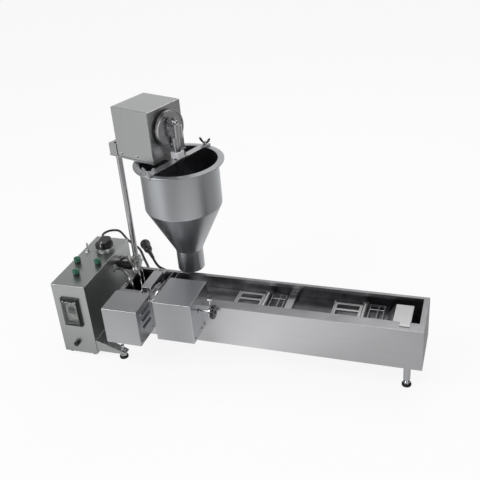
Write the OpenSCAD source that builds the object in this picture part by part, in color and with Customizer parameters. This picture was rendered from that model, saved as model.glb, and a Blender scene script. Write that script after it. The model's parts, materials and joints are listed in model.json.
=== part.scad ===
// Single-row automatic donut fryer: a long oil tank on levelling feet, a control box at its left end,
// a drive for the oil paddle and the two flippers, and a dough hopper with a crank-driven plunger
// that swings on a column. Millimetres. +Z is up and +X runs from the control box to the outlet.
// The origin is on the floor, in the middle of the plan.

/* [Tank] */
// Outside length of the oil tank
tank_l = 873; // [850:1:950]
// Outside width of the oil tank
tank_w = 163; // [158:1:180]
// Outside height of the oil tank
tank_h = 123; // [118:1:140]
// Height of the tank's underside above the floor
leg_h = 78; // [74:1:90]
// Thickness of the tank's steel sheet
sheet_t = 2; // [1.6:0.1:2.4]
// Width of the front rim, which hides the push rod
front_rim_w = 36; // [34:1:38]
// Width of the back rim
back_rim_w = 11; // [9:1:14]
// Width of the right rim
right_rim_w = 15; // [12:1:18]
// Width of the left rim
left_rim_w = 14; // [12:1:16]
// Depth of the lip turned down round the opening
rim_drop = 10; // [7:1:11]
// Depth of the flow deck below the rim
deck_drop = 44; // [42:1:48]

/* [Feet] */
// Radius of a foot's rubber pad
pad_r = 13; // [11:0.5:16]
// Height of a foot's rubber pad
pad_h = 8; // [6:0.5:10]
// Radius of a foot's threaded stem
stem_r = 6; // [5:0.5:7]
// Radius of the steel sleeve above the stem
sleeve_r = 9.5; // [8.5:0.5:11]
// Distance of the tank's feet from its ends
foot_inset_x = 41; // [34:1:60]
// Distance of the tank's feet from its front and back walls
foot_inset_y = 30; // [22:1:40]

/* [Control box] */
// Width of the control box
ctrl_w = 109; // [104:1:125]
// Depth of the control box
ctrl_d = 289; // [270:1:310]
// Height of the control box above its rubber feet
ctrl_h = 237; // [230:1:250]
// How far the control box stands in front of the tank
ctrl_front = 45; // [38:1:55]
// Gap between the control box and the tank
box_gap = 68; // [64:1:76]
// Thickness of the casing's sheet
case_t = 1.5; // [1.2:0.1:2]
// Width of the breaker window's bezel
bezel_w = 58; // [54:1:64]
// Height of the breaker window's bezel
bezel_h = 95; // [88:1:100]
// How far the bezel stands out
bezel_t = 8; // [6:0.5:10]
// Radius of the temperature dial
dial_r = 28; // [22:0.5:30]
// Height of the temperature dial
dial_h = 22; // [16:0.5:26]
// Radius of a push button
button_r = 10.2; // [9:0.1:11]
// Travel of a push button
button_travel = 3; // [2:0.5:4]
// Radius of the fuse cap
fuse_r = 8; // [6:0.5:10]
// Length of the toggle switch's lever
toggle_l = 20; // [15:1:26]

/* [Drive covers] */
// Width of the louvred motor cover
motor_cover_w = 107; // [98:1:112]
// Depth of the louvred motor cover
motor_cover_d = 96; // [92:1:110]
// Height of the louvred motor cover
motor_cover_h = 114; // [106:1:124]
// Width of the flipper drive's cover
flip_cover_w = 111.5; // [108:0.5:118]
// Depth of the flipper drive's cover
flip_cover_d = 129; // [127:1:140]
// Height of the flipper drive's cover
flip_cover_h = 124; // [120:1:132]
// How far the flipper drive's cover rises above the rim
flip_cover_rise = 44; // [40:1:50]
// Thickness of the covers' sheet
cover_t = 1.5; // [1.2:0.1:2]
// Number of louvres on the motor cover
louvres = 3; // [2:1:3]

/* [Flippers] */
// Length of a flipper from its hinge
flipper_l = 84; // [76:1:88]
// Turn of the flippers from flat to thrown over
flip_angle = 150; // [130:5:155]
// Radius of a flipper's lever
lever_r = 9.3; // [8:0.1:9.6]
// Length of the fixed rack behind a flipper
rack_l = 56; // [50:1:58]
// Radius of the cam drum that moves the push rod
drum_r = 16; // [14:0.5:17]
// Radius of the hand wheel
wheel_r = 20; // [17:0.5:21]
// Tip radius of the oil paddle
paddle_r = 30; // [24:1:31]

/* [Column and head] */
// Radius of the column
col_r = 8.5; // [7:0.5:9]
// Height of the column's top above the floor
col_top = 598; // [590:1:602]
// Height of the head plate's underside
head_z = 565; // [540:1:575]
// Turn of the head about the column in the stored position
head_yaw = -18.5; // [-24:0.5:-14]
// Length of the head cover away from the column
cover_l = 136; // [130:1:140]
// Width of the head cover along its crank face
cover_w = 133.5; // [126:0.5:142]
// Height of the head cover
cover_h = 144; // [138:1:156]
// Radius of the crank disc
crank_r = 52; // [44:1:53]
// Throw of the crank pin, half the plunger's stroke
crank_throw = 20; // [14:1:20]

/* [Hopper] */
// Distance of the hopper's axis from the column, out from the crank face
arm_x = 176.6; // [176:0.5:182]
// Distance of the hopper's axis from the column, along the crank face
arm_y = 55.2; // [50:0.1:60]
// Outside radius of the hopper's bowl
bowl_r = 111; // [104:1:114]
// Width of the flange round the hopper's bowl
flange_w = 16.5; // [14:0.5:20]
// Height of the bowl's straight wall
bowl_h = 133; // [110:1:150]
// Height of the cone under the bowl
cone_h = 142; // [130:1:160]
// Outside radius of the nozzle
nozzle_r = 39.5; // [34:0.5:42]
// Length of the nozzle
nozzle_l = 67; // [50:1:72]
// Thickness of the hopper's wall
hopper_t = 2; // [1.6:0.1:2.5]
// Radius of the plunger's rod
plunger_r = 11; // [8:0.5:12]

/* [Mains cord] */
// Radius of the mains cord
cord_r = 4.5; // [4:0.1:4.8]

/* [Hidden] */
$fn = 48;

// Clearances: a running fit, a seat of soft or curved faces, and a through hole.
run_gap = 0.05;
seat_gap = 0.3;
hole_gap = 0.6;

steel = [0.66, 0.67, 0.69];
bright = [0.80, 0.81, 0.83];
dark_steel = [0.42, 0.43, 0.45];
black = [0.09, 0.09, 0.10];
green = [0.16, 0.42, 0.32];

// Plan. The hopper's flange is the part that reaches furthest back, and the motor cover furthest forward.
col_out_x = 8.5;
col_out_y = 9.6;
overall_l = ctrl_w + box_gap + tank_l;
flange_r = bowl_r + flange_w;
back_reach = tank_w + col_out_y + sin(head_yaw) * arm_x + cos(head_yaw) * arm_y + flange_r;
front_reach = motor_cover_d + run_gap;
tank_x1 = overall_l / 2;
tank_x0 = tank_x1 - tank_l;
tank_y0 = -(back_reach - front_reach) / 2;
tank_y1 = tank_y0 + tank_w;
rim_z = leg_h + tank_h;
floor_z = leg_h + sheet_t;
deck_z = rim_z - deck_drop;
col_x = tank_x0 - col_out_x;
col_y = tank_y1 + col_out_y;

// Feet.
bracket_foot = [tank_x0 + 11, tank_y0 - 28];
bracket_z = 20;
bracket_t = 3;
// The tank's own feet: one at its back left corner and two at its right end. The bracket's foot stands at
// the front left.
tank_feet = [
    [tank_x0 + foot_inset_x - 8, tank_y1 - foot_inset_y],
    [tank_x1 - foot_inset_x, tank_y0 + foot_inset_y],
    [tank_x1 - foot_inset_x, tank_y1 - foot_inset_y]];

// Control box.
ctrl_x0 = -overall_l / 2;
ctrl_x1 = ctrl_x0 + ctrl_w;
ctrl_y0 = tank_y0 - ctrl_front;
ctrl_y1 = ctrl_y0 + ctrl_d;
ctrl_z0 = pad_h;
ctrl_z1 = ctrl_z0 + ctrl_h;
ctrl_mid_x = (ctrl_x0 + ctrl_x1) / 2;
box_foot_r = 9;
box_foot_inset = 16;
window_mid_x = ctrl_mid_x - 1.5;
window_mid_z = ctrl_z0 + 147.5;
window_w = bezel_w - 14;
window_h = bezel_h - 26;
dial_at = [ctrl_mid_x + 11, ctrl_y1 - 72];
dial_plate_h = 10;
dial_shaft_r = 3;
toggle_at = [ctrl_mid_x - 38, ctrl_y1 - 95];
toggle_tilt = 12;
toggle_pivot_z = ctrl_z1 + 5;
toggle_bore = 4;
toggle_pin_r = 1.2;
button_at = [[ctrl_mid_x - 32, ctrl_y0 + 123], [ctrl_mid_x + 35, ctrl_y0 + 126], [ctrl_mid_x, ctrl_y0 + 58]];
button_stem_r = button_r - 3;
collar_r = button_r - 0.7;
collar_h = 5;
button_h = 12;
fuse_at = [ctrl_mid_x - 5.5, ctrl_z0 + 36];
gland_r = 12;
gland_t = 7;
heater_r = 4.5;
wall_front = [ctrl_x1, tank_y1 - 23, rim_z - 2];
wall_back = [ctrl_x1, tank_y1 + 27, rim_z + 6];
sleeve_at = [tank_y1 + 2, rim_z - 3];
duct_r = 12.5;
duct_bore = 9;
cord_exit = [ctrl_mid_x, ctrl_z0 + 37];
cord_gland_l = 18;
cord_relief_l = 30;

// Paddle drive.
paddle_x = tank_x0 + 83;
paddle_z = rim_z - 36;
paddle_shaft_r = 6;
paddle_y0 = tank_y0 + 55;
paddle_y1 = tank_y0 + 125;
motor_cover_x0 = tank_x0 + 8;
motor_cover_z0 = rim_z - 96;
motor_r = 28;

// Flipper drive. The cam shaft runs along X in front of the tank's front wall.
flip_cover_x0 = tank_x0 + 157;
flip_cover_x1 = flip_cover_x0 + flip_cover_w;
flip_cover_y0 = tank_y0 - 73;
flip_cover_z1 = rim_z + flip_cover_rise;
flip_cover_z0 = flip_cover_z1 - flip_cover_h;
cam_y = tank_y0 - 22;
cam_z = rim_z - 1;
cam_shaft_r = 5;
rod_travel = 2 * lever_r * sin(flip_angle / 2);
groove_r = 4.3;
groove_depth = 5;
drum_l = rod_travel + 4 * groove_r;
drum_x1 = flip_cover_x1 - cover_t - 1.5;
drum_x0 = drum_x1 - drum_l;
follower_x = drum_x0 + 2 * groove_r;
follower_r = 3.5;
wheel_x = flip_cover_x1 + 39;

// Flippers and push rod.
hinge_z = deck_z + 15;
hinge_r = 4;
hinge_1_x = tank_x0 + 424;
hinge_2_x = tank_x1 - 170;
rod_y0 = tank_y0 + 12;
rod_y1 = rod_y0 + 6;
rod_z0 = hinge_z - 5;
rod_z1 = hinge_z + 16;
pin_r = 2.5;
ear_y0 = tank_y0 + 30;
ear_y1 = tank_y1 - 26;
ear_t = 4;
plate_y0 = tank_y0 + front_rim_w + 3;
plate_y1 = ear_y1 - 5;

// Head, in its own frame: X out from the crank face, Y along it, measured from the column.
plate_t = 4;
plate_z1 = head_z + plate_t;
cover_x0 = 10;
cover_x1 = cover_x0 + cover_l;
cover_y0 = arm_y - cover_w / 2;
cover_y1 = arm_y + cover_w / 2;
crank_z = plate_z1 + 82;
crank_x = cover_x1 + 7;
crank_t = 12;
crank_shaft_r = 8;
pin_x1 = crank_x + crank_t + 7.7;
eye_r = 13;
eye_t = 12;
bar_w = 22;
bar_t = 5;
bolt_out = bowl_r + flange_w / 2;
bar_half = bolt_out + 11;
wing_r = 3;
block_w = 27;
bar_screw_x = arm_x + 5;
bar_screw_out = 20;
block_h = 18;
rod_top = plate_z1 + block_h + 2 * crank_throw + 2;
link_x = arm_x + 11.4;
clamp_h = 34;

// Hopper heights.
flange_z = head_z - bar_t;
bowl_z0 = flange_z - bowl_h;
cone_z0 = bowl_z0 - cone_h;
nozzle_z0 = cone_z0 - nozzle_l;
die_z = nozzle_z0 + 27;

// Mains cord. It lies on the floor: out from the box, round a bend behind it, into a coil of one and a
// half turns in two layers behind the tank, and back out to the plug.
cord_lie = cord_r + seat_gap;
coil_mid = [-385, 270];
coil_heading = -53;
coil_in_r = 44;
coil_gap = 0.9;
coil_pitch = 2 * cord_r + coil_gap;
coil_sweep = 540;
coil_rings = 24;
coil_sides = 6;
coil_end_l = 2 * cord_r;
plug_at = [-552, 494];
plug_heading = -51;
plug_r = 18.5;
plug_l = 60;
plug_relief_l = 60;
pin_l = 19;
pin_off = 9.5;

function unit(v) = v / norm(v);
function dot(a, b) = a * b;

// A point of the smooth curve through b and c, with a before them and d after.
function curve_point(a, b, c, d, t) =
    0.5 * (2 * b + (c - a) * t + (2 * a - 5 * b + 4 * c - d) * t * t + (3 * b - a - 3 * c + d) * t * t * t);

function smooth(p, n) = [
    for (i = [0:len(p) - 2])
        for (k = [0:n - 1])
            curve_point(p[max(i - 1, 0)], p[i], p[i + 1], p[min(i + 2, len(p) - 1)], k / n),
    p[len(p) - 1]];

function tangents(p) = [
    for (i = [0:len(p) - 1]) unit(p[min(i + 1, len(p) - 1)] - p[max(i - 1, 0)])];

function square_to(v, t) = unit(v - dot(v, t) * t);

// The ring's first direction, carried along the path without twist.
function carried(t, start) = [
    for (i = 0, n = square_to(start, t[0]); i < len(t); i = i + 1,
        n = i < len(t) ? square_to(n, t[i]) : n) n];

// A round tube swept along a path. The section starts from the direction up.
module tube_along(path, r, sides, up = [0, 0, 1]) {
    t = tangents(path);
    n = carried(t, up);
    last = len(path) - 1;
    rings = [for (i = [0:last]) for (k = [0:sides - 1])
        path[i] + r * (cos(360 * k / sides) * n[i] + sin(360 * k / sides) * cross(t[i], n[i]))];
    walls = [for (i = [0:last - 1]) for (k = [0:sides - 1])
        let (a = i * sides + k, b = i * sides + (k + 1) % sides)
            each [[a, a + sides, b], [b, a + sides, b + sides]]];
    start_cap = [for (k = [1:sides - 2]) [0, k, k + 1]];
    end_cap = [for (k = [1:sides - 2]) [last * sides, last * sides + k + 1, last * sides + k]];
    polyhedron(points = rings, faces = concat(walls, start_cap, end_cap), convexity = 8);
}

// A box from its lowest corner to its highest.
module span(lo, hi) {
    translate(lo) cube(hi - lo);
}

module rod_x(x0, x1, y, z, r) {
    translate([x0, y, z]) rotate([0, 90, 0]) cylinder(h = x1 - x0, r = r);
}

module rod_y(y0, y1, x, z, r) {
    translate([x, y0, z]) rotate([-90, 0, 0]) cylinder(h = y1 - y0, r = r);
}

module rod_z(z0, z1, x, y, r) {
    translate([x, y, z0]) cylinder(h = z1 - z0, r = r);
}

// Puts a child made in the head's frame where the head stands.
module on_head() {
    translate([col_x, col_y, 0]) rotate([0, 0, head_yaw]) children();
}

// A pan head screw that points down, with its head's seat at z = 0.
module screw(shank_l, head_r = 4, head_h = 2.6, shank_r = 2) {
    difference() {
        cylinder(h = head_h, r = head_r);
        translate([0, 0, head_h - 1]) cylinder(h = 2, r = head_r / 2.2, $fn = 6);
    }
    translate([0, 0, -shank_l]) cylinder(h = shank_l + 0.5, r = shank_r);
}

// Screws of the frame: the place of the head's seat, the turn that points the screw, and the shank.
socket_plate_t = 3;
collar_z0 = rim_z + 0.3;
collar_h_socket = 27;
back_screw_inset = 9;
frame_screw_list = concat(
    [for (x = [ctrl_x0 + back_screw_inset, ctrl_x1 - back_screw_inset])
        for (z = [ctrl_z0 + back_screw_inset, ctrl_z1 - back_screw_inset])
            [[x, ctrl_y1, z], [-90, 0, 0], case_t]],
    [for (z = [rim_z - 70, rim_z - 30])
        [[tank_x0 + 28, tank_y1 + socket_plate_t, z], [-90, 0, 0], socket_plate_t]],
    [for (y = [tank_y0 - 84, tank_y0 - 12]) [[motor_cover_x0 + motor_cover_w, y, motor_cover_z0 + 10],
        [0, 90, 0], cover_t]],
    [for (y = [tank_y0 - 60, tank_y0 - 12]) [[flip_cover_x1, y, flip_cover_z0 + 10], [0, 90, 0], cover_t]]);
shank_r = 2;
screw_hole_r = shank_r + run_gap;

module screw_holes(list, deep) {
    for (s = list) translate(s[0]) rotate(s[1]) translate([0, 0, -s[2] - deep])
        cylinder(h = s[2] + deep + 1, r = screw_hole_r);
}

module tank_opening(grow, z0, z1) {
    span([tank_x0 + left_rim_w - grow, tank_y0 + front_rim_w - grow, z0],
        [tank_x1 - right_rim_w + grow, tank_y1 - back_rim_w + grow, z1]);
}

// The push rod's two ledges on the front wall.
ledge_x = [tank_x0 + 300, tank_x1 - 330];

module tank_shell() color(steel) {
    lip_z = rim_z - sheet_t - rim_drop;
    difference() {
        union() {
            difference() {
                span([tank_x0, tank_y0, leg_h], [tank_x1, tank_y1, rim_z]);
                span([tank_x0 + sheet_t, tank_y0 + sheet_t, floor_z],
                    [tank_x1 - sheet_t, tank_y1 - sheet_t, rim_z - sheet_t]);
            }
            tank_opening(sheet_t, lip_z, rim_z);
            for (x = ledge_x)
                span([x - 10, tank_y0 + 1, rod_z0 - 4], [x + 10, rod_y1 + 3, rod_z0 - seat_gap]);
            rod_y(tank_y0 - 5, tank_y0 + 8, paddle_x, paddle_z, paddle_shaft_r + 6);
            rod_y(tank_y1 - sheet_t - 9, tank_y1 - 1, paddle_x, paddle_z, paddle_shaft_r + 6);
        }
        tank_opening(0, lip_z - 1, rim_z + 1);
        rod_y(tank_y0 - 6, tank_y0 + 9, paddle_x, paddle_z, paddle_shaft_r + run_gap);
        rod_y(tank_y1 - sheet_t - 10, tank_y1 - sheet_t - 1, paddle_x, paddle_z, paddle_shaft_r + run_gap);
        for (y = [tank_y0 + 58, tank_y0 + 104])
            rod_z(rim_z - 4, rim_z + 1, tank_x0 + left_rim_w / 2, y, 3);
    }
}

// The deck that the oil flows over, on short posts that stand on the tank's floor.
deck_x0 = tank_x0 + 117;
deck_x1 = tank_x1 - 106;

module flow_deck() color(dark_steel) {
    post_r = 5;
    span([deck_x0, tank_y0 + sheet_t + 1, deck_z - sheet_t], [deck_x1, tank_y1 - sheet_t - 1, deck_z]);
    for (x = [deck_x0 + 20, (deck_x0 + deck_x1) / 2, deck_x1 - 20])
        for (y = [tank_y0 + 18, tank_y1 - 18]) rod_z(floor_z, deck_z - 1, x, y, post_r);
}

// A bent divider between the two frying zones.
module weir_plate() color(bright) {
    x0 = hinge_1_x + 59;
    width = 21;
    difference() {
        span([x0, tank_y0 + 24, deck_z], [x0 + width, tank_y1 - sheet_t - 1, deck_z + 12]);
        span([x0 + sheet_t, tank_y0 + 23, deck_z - 1],
            [x0 + width - sheet_t, tank_y1, deck_z + 12 - sheet_t]);
    }
}

// The outlet ramp: its left edge is bent down into the oil, and a tab hooks it on the front rim.
module out_ramp() color(bright) {
    x1 = tank_x1 - 38;
    x0 = tank_x1 - 84;
    top_z = rim_z - 11;
    t = sheet_t;
    y0 = tank_y0 + front_rim_w + 4;
    y1 = tank_y1 - back_rim_w - 22;
    translate([0, y1, 0]) rotate([90, 0, 0]) linear_extrude(y1 - y0)
        polygon([[x0 - 20, deck_z + 2], [x0, top_z - t], [x1, top_z - t], [x1, top_z], [x0 - 1, top_z],
            [x0 - 20 - t, deck_z + 2]]);
    span([x0 + 20, tank_y0 + 14, rim_z], [x1, y0 + t, rim_z + t]);
    span([x0 + 20, y0, top_z - t], [x1, y0 + t, rim_z + t]);
}

// The fixed racks that a flipped ring lands on, with the ears that carry the flippers' shafts.
module rack(x) {
    ear_h = 6;
    for (y = [ear_y0, ear_y1]) difference() {
        union() {
            span([x - 8, y, deck_z], [x + 8, y + ear_t, hinge_z + ear_h]);
            span([x, y, hinge_z - 4], [x + rack_l, y + ear_t, hinge_z + 1]);
            span([x + rack_l - 6, y, deck_z], [x + rack_l, y + ear_t, hinge_z + 1]);
        }
        rod_y(y - 1, y + ear_t + 1, x, hinge_z, hinge_r + run_gap);
    }
    for (dx = [14, rack_l - 19, rack_l - 3]) rod_y(ear_y0 + 2, ear_y1 + 2, x + dx, hinge_z - 1.5, 2);
    for (y = [plate_y0 + 14, plate_y1 - 14]) rod_x(x + 14, x + rack_l - 3, y, hinge_z - 1.5, 1.8);
}

module landing_racks() color(steel) {
    rack(hinge_1_x);
    rack(hinge_2_x);
}

module foot_stem(at, top) {
    sleeve_z0 = pad_h + 14;
    translate([at[0], at[1], 0]) {
        rod_z(pad_h, top, 0, 0, stem_r);
        translate([0, 0, pad_h]) cylinder(h = 5, r = stem_r + 4, $fn = 6);
        if (top > sleeve_z0 + 20) rod_z(sleeve_z0, top, 0, 0, sleeve_r);
    }
}

module foot_stems() color(bright) {
    for (p = tank_feet) foot_stem(p, leg_h);
    foot_stem(bracket_foot, bracket_z);
    translate([bracket_foot[0], bracket_foot[1], bracket_z + bracket_t]) {
        cylinder(h = 7, r = stem_r + 3.5, $fn = 6);
        cylinder(h = 20, r = stem_r - 1);
    }
}

module foot_pads() color(black) {
    for (p = concat(tank_feet, [bracket_foot])) translate([p[0], p[1], 0]) {
        cylinder(h = pad_h - 2, r = pad_r);
        translate([0, 0, pad_h - 2]) cylinder(h = 2, r = pad_r - 3);
    }
    for (x = [ctrl_x0 + box_foot_inset, ctrl_x1 - box_foot_inset])
        for (y = [ctrl_y0 + box_foot_inset, ctrl_y1 - box_foot_inset]) rod_z(0, ctrl_z0, x, y, box_foot_r);
}

// The plate that ties the control box to its outer foot, with a tab up the box's side and a gusset.
module foot_bracket() color(steel) {
    tip = bracket_foot;
    front_y = tip[1] - 14;
    back_y = ctrl_y0 + 62;
    top_z = bracket_z + bracket_t;
    difference() {
        union() {
            translate([0, 0, bracket_z]) linear_extrude(bracket_t)
                polygon([[ctrl_x1, front_y], [ctrl_x1, back_y], [tip[0] + 14, tip[1] + 10],
                    [tip[0] + 14, front_y]]);
            span([ctrl_x1, front_y, bracket_z], [ctrl_x1 + bracket_t, back_y, bracket_z + 36]);
            translate([0, front_y + bracket_t, 0]) rotate([90, 0, 0]) linear_extrude(bracket_t)
                polygon([[ctrl_x1, bracket_z], [tip[0] + 14, bracket_z], [tip[0] + 14, top_z + 2],
                    [ctrl_x1, bracket_z + 36]]);
        }
        rod_z(bracket_z - 1, top_z + 1, tip[0], tip[1], stem_r - 1 + run_gap);
    }
}

module control_box() color(bright) {
    difference() {
        span([ctrl_x0, ctrl_y0, ctrl_z0], [ctrl_x1, ctrl_y1 - case_t, ctrl_z1]);
        span([ctrl_x0 + case_t, ctrl_y0 + case_t, ctrl_z0 + case_t],
            [ctrl_x1 - case_t, ctrl_y1, ctrl_z1 - case_t]);
        span([window_mid_x - window_w / 2, ctrl_y0 - 1, window_mid_z - window_h / 2],
            [window_mid_x + window_w / 2, ctrl_y0 + 3, window_mid_z + window_h / 2]);
        rod_z(ctrl_z1 - 4, ctrl_z1 + 1, dial_at[0], dial_at[1], dial_shaft_r + hole_gap);
        rod_z(ctrl_z1 - 4, ctrl_z1 + 1, toggle_at[0], toggle_at[1], toggle_bore);
        for (p = button_at) rod_z(ctrl_z1 - 4, ctrl_z1 + 1, p[0], p[1], button_stem_r + 1);
        rod_y(ctrl_y0 - 1, ctrl_y0 + 4, fuse_at[0], fuse_at[1], 5);
        for (w = [wall_front, wall_back]) rod_x(ctrl_x1 - 4, ctrl_x1 + 1, w[1], w[2], heater_r + hole_gap);
        rod_x(ctrl_x1 - 4, ctrl_x1 + 1, sleeve_at[0], sleeve_at[1], duct_bore);
    }
}

module control_back() color(steel) {
    difference() {
        span([ctrl_x0, ctrl_y1 - case_t, ctrl_z0], [ctrl_x1, ctrl_y1, ctrl_z1]);
        rod_y(ctrl_y1 - 4, ctrl_y1 + 1, cord_exit[0], cord_exit[1], cord_r + 3);
        screw_holes([for (i = [0:3]) frame_screw_list[i]], 1);
    }
}

module breaker_bezel() color(black) {
    lip = 2;
    difference() {
        union() {
            span([window_mid_x - bezel_w / 2, ctrl_y0 - bezel_t + lip, window_mid_z - bezel_h / 2],
                [window_mid_x + bezel_w / 2, ctrl_y0, window_mid_z + bezel_h / 2]);
            span([window_mid_x - bezel_w / 2 + lip, ctrl_y0 - bezel_t, window_mid_z - bezel_h / 2 + lip],
                [window_mid_x + bezel_w / 2 - lip, ctrl_y0, window_mid_z + bezel_h / 2 - lip]);
        }
        span([window_mid_x - window_w / 2, ctrl_y0 - bezel_t - 1, window_mid_z - window_h / 2],
            [window_mid_x + window_w / 2, ctrl_y0 + 1, window_mid_z + window_h / 2]);
    }
}

// The breaker stands behind the window, on a rail plate fixed to the box's left wall.
breaker_w = window_w - 6;
breaker_h = window_h - 4;
breaker_y0 = ctrl_y0 + 1;
breaker_pivot_z = window_mid_z + 4;
lever_w = 20;

module breaker_body() color([0.85, 0.85, 0.83]) {
    difference() {
        union() {
            span([window_mid_x - breaker_w / 2, breaker_y0, window_mid_z - breaker_h / 2],
                [window_mid_x + breaker_w / 2, breaker_y0 + 55, window_mid_z + breaker_h / 2]);
            span([ctrl_x0 + case_t, breaker_y0 + 55, window_mid_z - 20],
                [window_mid_x + breaker_w / 2, breaker_y0 + 59, window_mid_z + 20]);
        }
        span([window_mid_x - lever_w / 2 - 1, breaker_y0 - 1, breaker_pivot_z - 13],
            [window_mid_x + lever_w / 2 + 1, breaker_y0 + 10, breaker_pivot_z + 13]);
        rod_x(window_mid_x - lever_w / 2 - 4, window_mid_x + lever_w / 2 + 4, breaker_y0 + 4,
            breaker_pivot_z, 2 + run_gap);
    }
}

// The breaker's toggle: a bar on a pivot pin, thrown up at rest.
module breaker_lever() color(black) {
    translate([window_mid_x, breaker_y0 + 4, breaker_pivot_z]) {
        rod_x(-lever_w / 2 - 3.5, lever_w / 2 + 3.5, 0, 0, 2);
        rod_x(-lever_w / 2, lever_w / 2, 0, 0, 3.4);
        rotate([-25, 0, 0]) span([1 - lever_w / 2, -9, -2.2], [lever_w / 2 - 1, 0.3, 2.2]);
    }
}

// The clear flap over the window, hinged along its upper edge.
flap_t = 1.6;
flap_hinge = [ctrl_y0 - bezel_t - 2.4, window_mid_z + window_h / 2 + 4];

module breaker_flap() color([0.85, 0.9, 0.92, 0.4]) {
    y0 = flap_hinge[0];
    span([window_mid_x - window_w / 2 - 3, y0 - flap_t / 2, window_mid_z - window_h / 2 - 3],
        [window_mid_x + window_w / 2 + 3, y0 + flap_t / 2, flap_hinge[1]]);
    rod_x(window_mid_x - window_w / 2 - 3, window_mid_x + window_w / 2 + 3, y0, flap_hinge[1], 2.1);
}

module button_collars() color(black) {
    for (p = button_at) translate([p[0], p[1], ctrl_z1]) difference() {
        cylinder(h = collar_h, r = collar_r);
        translate([0, 0, -1]) cylinder(h = collar_h + 2, r = button_stem_r + seat_gap);
    }
}

// A green push button: a domed cap over a stem that goes through the casing.
module green_button(i) color(green) {
    p = button_at[i];
    base_z = ctrl_z1 + collar_h + button_travel + 0.5;
    crown = 3;
    translate([p[0], p[1], 0]) {
        rod_z(ctrl_z1 - 9, base_z + 1, 0, 0, button_stem_r);
        rod_z(base_z, base_z + button_h - crown, 0, 0, button_r);
        translate([0, 0, base_z + button_h - crown]) rotate_extrude()
            intersection() {
                scale([button_r, crown]) circle(r = 1, $fn = 64);
                square([button_r, crown]);
            }
    }
}

module green_button_1() green_button(0);
module green_button_2() green_button(1);
module green_button_3() green_button(2);

module toggle_collar() color(bright) {
    translate([toggle_at[0], toggle_at[1], ctrl_z1]) difference() {
        union() {
            cylinder(h = 2.5, r = 8, $fn = 6);
            cylinder(h = 8, r = 5.5);
        }
        translate([0, 0, -1]) cylinder(h = 10, r = toggle_bore);
    }
}

module toggle_lever() color(bright) {
    translate([toggle_at[0], toggle_at[1], toggle_pivot_z]) rotate([-toggle_tilt, 0, 0]) {
        sphere(r = toggle_bore - seat_gap);
        rod_x(seat_gap - toggle_bore, toggle_bore - seat_gap, 0, 0, toggle_pin_r);
        cylinder(h = toggle_l, r1 = 1.6, r2 = 2.8);
        translate([0, 0, toggle_l]) sphere(r = 2.8);
    }
}

module dial_plate() color(bright) {
    translate([dial_at[0], dial_at[1], ctrl_z1]) difference() {
        union() {
            cylinder(h = 2, r = dial_r - 1);
            cylinder(h = dial_plate_h, r1 = dial_r - 3, r2 = dial_r - 7);
        }
        translate([0, 0, -1]) cylinder(h = dial_plate_h + 2, r = dial_shaft_r + hole_gap);
    }
}

module dial_knob() color(black) {
    base_z = ctrl_z1 + dial_plate_h + seat_gap;
    skirt_h = 10;
    grip_l = 2 * dial_r - 3;
    grip_w = 30;
    translate([dial_at[0], dial_at[1], 0]) {
        rod_z(ctrl_z1 - 18, base_z + 2, 0, 0, dial_shaft_r);
        rod_z(base_z, base_z + skirt_h, 0, 0, dial_r);
        intersection() {
            rod_z(base_z + 4, base_z + dial_h, 0, 0, dial_r - 1);
            rotate([0, 0, 95]) span([-grip_l / 2, -grip_w / 2, base_z],
                [grip_l / 2, grip_w / 2, base_z + dial_h]);
        }
    }
}

module fuse_cap() color(black) {
    knurl_l = 11;
    rod_y(ctrl_y0 - knurl_l, ctrl_y0 - seat_gap, fuse_at[0], fuse_at[1], fuse_r);
    rod_y(ctrl_y0 - knurl_l - 1.5, ctrl_y0 - knurl_l + 1, fuse_at[0], fuse_at[1], fuse_r - 1.5);
    rod_y(ctrl_y0 - 1, ctrl_y0 + 16, fuse_at[0], fuse_at[1], 4.4);
}

// The thermostat hangs under the dial, with its capillary led through the duct into the oil.
thermo_z1 = ctrl_z1 - case_t;
bulb_y = tank_y1 - 22;
bulb_z = floor_z + 36;
capillary = [
    [dial_at[0] + 12, dial_at[1] - 5, thermo_z1 - 30], [ctrl_x1 - 22, sleeve_at[0] + 1, sleeve_at[1] + 2],
    [ctrl_x1 + 2, sleeve_at[0], sleeve_at[1] + 1], [col_x - 40, sleeve_at[0], sleeve_at[1]],
    [col_x - 22, sleeve_at[0] - 3, sleeve_at[1] + 1], [col_x - 12, sleeve_at[0] - 11, sleeve_at[1] + 5],
    [tank_x0 - 5, tank_y1 - 14, rim_z + 6], [tank_x0 + 10, tank_y1 - 17, rim_z + 6],
    [tank_x0 + 20, tank_y1 - 19, rim_z + 1], [tank_x0 + 24, tank_y1 - 20, rim_z - 12],
    [tank_x0 + 25, bulb_y, bulb_z + 30], [tank_x0 + 31, bulb_y, bulb_z + 5], [tank_x0 + 52, bulb_y, bulb_z]];

module thermostat() color([0.75, 0.72, 0.6]) {
    difference() {
        span([dial_at[0] - 20, dial_at[1] - 20, thermo_z1 - 36],
            [dial_at[0] + 20, dial_at[1] + 20, thermo_z1]);
        rod_z(thermo_z1 - 30, thermo_z1 + 1, dial_at[0], dial_at[1], dial_shaft_r + run_gap);
    }
    tube_along(smooth(capillary, 4), 1.4, 6);
    rod_x(tank_x0 + 50, tank_x0 + 112, bulb_y, bulb_z, 3.5);
}

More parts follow.
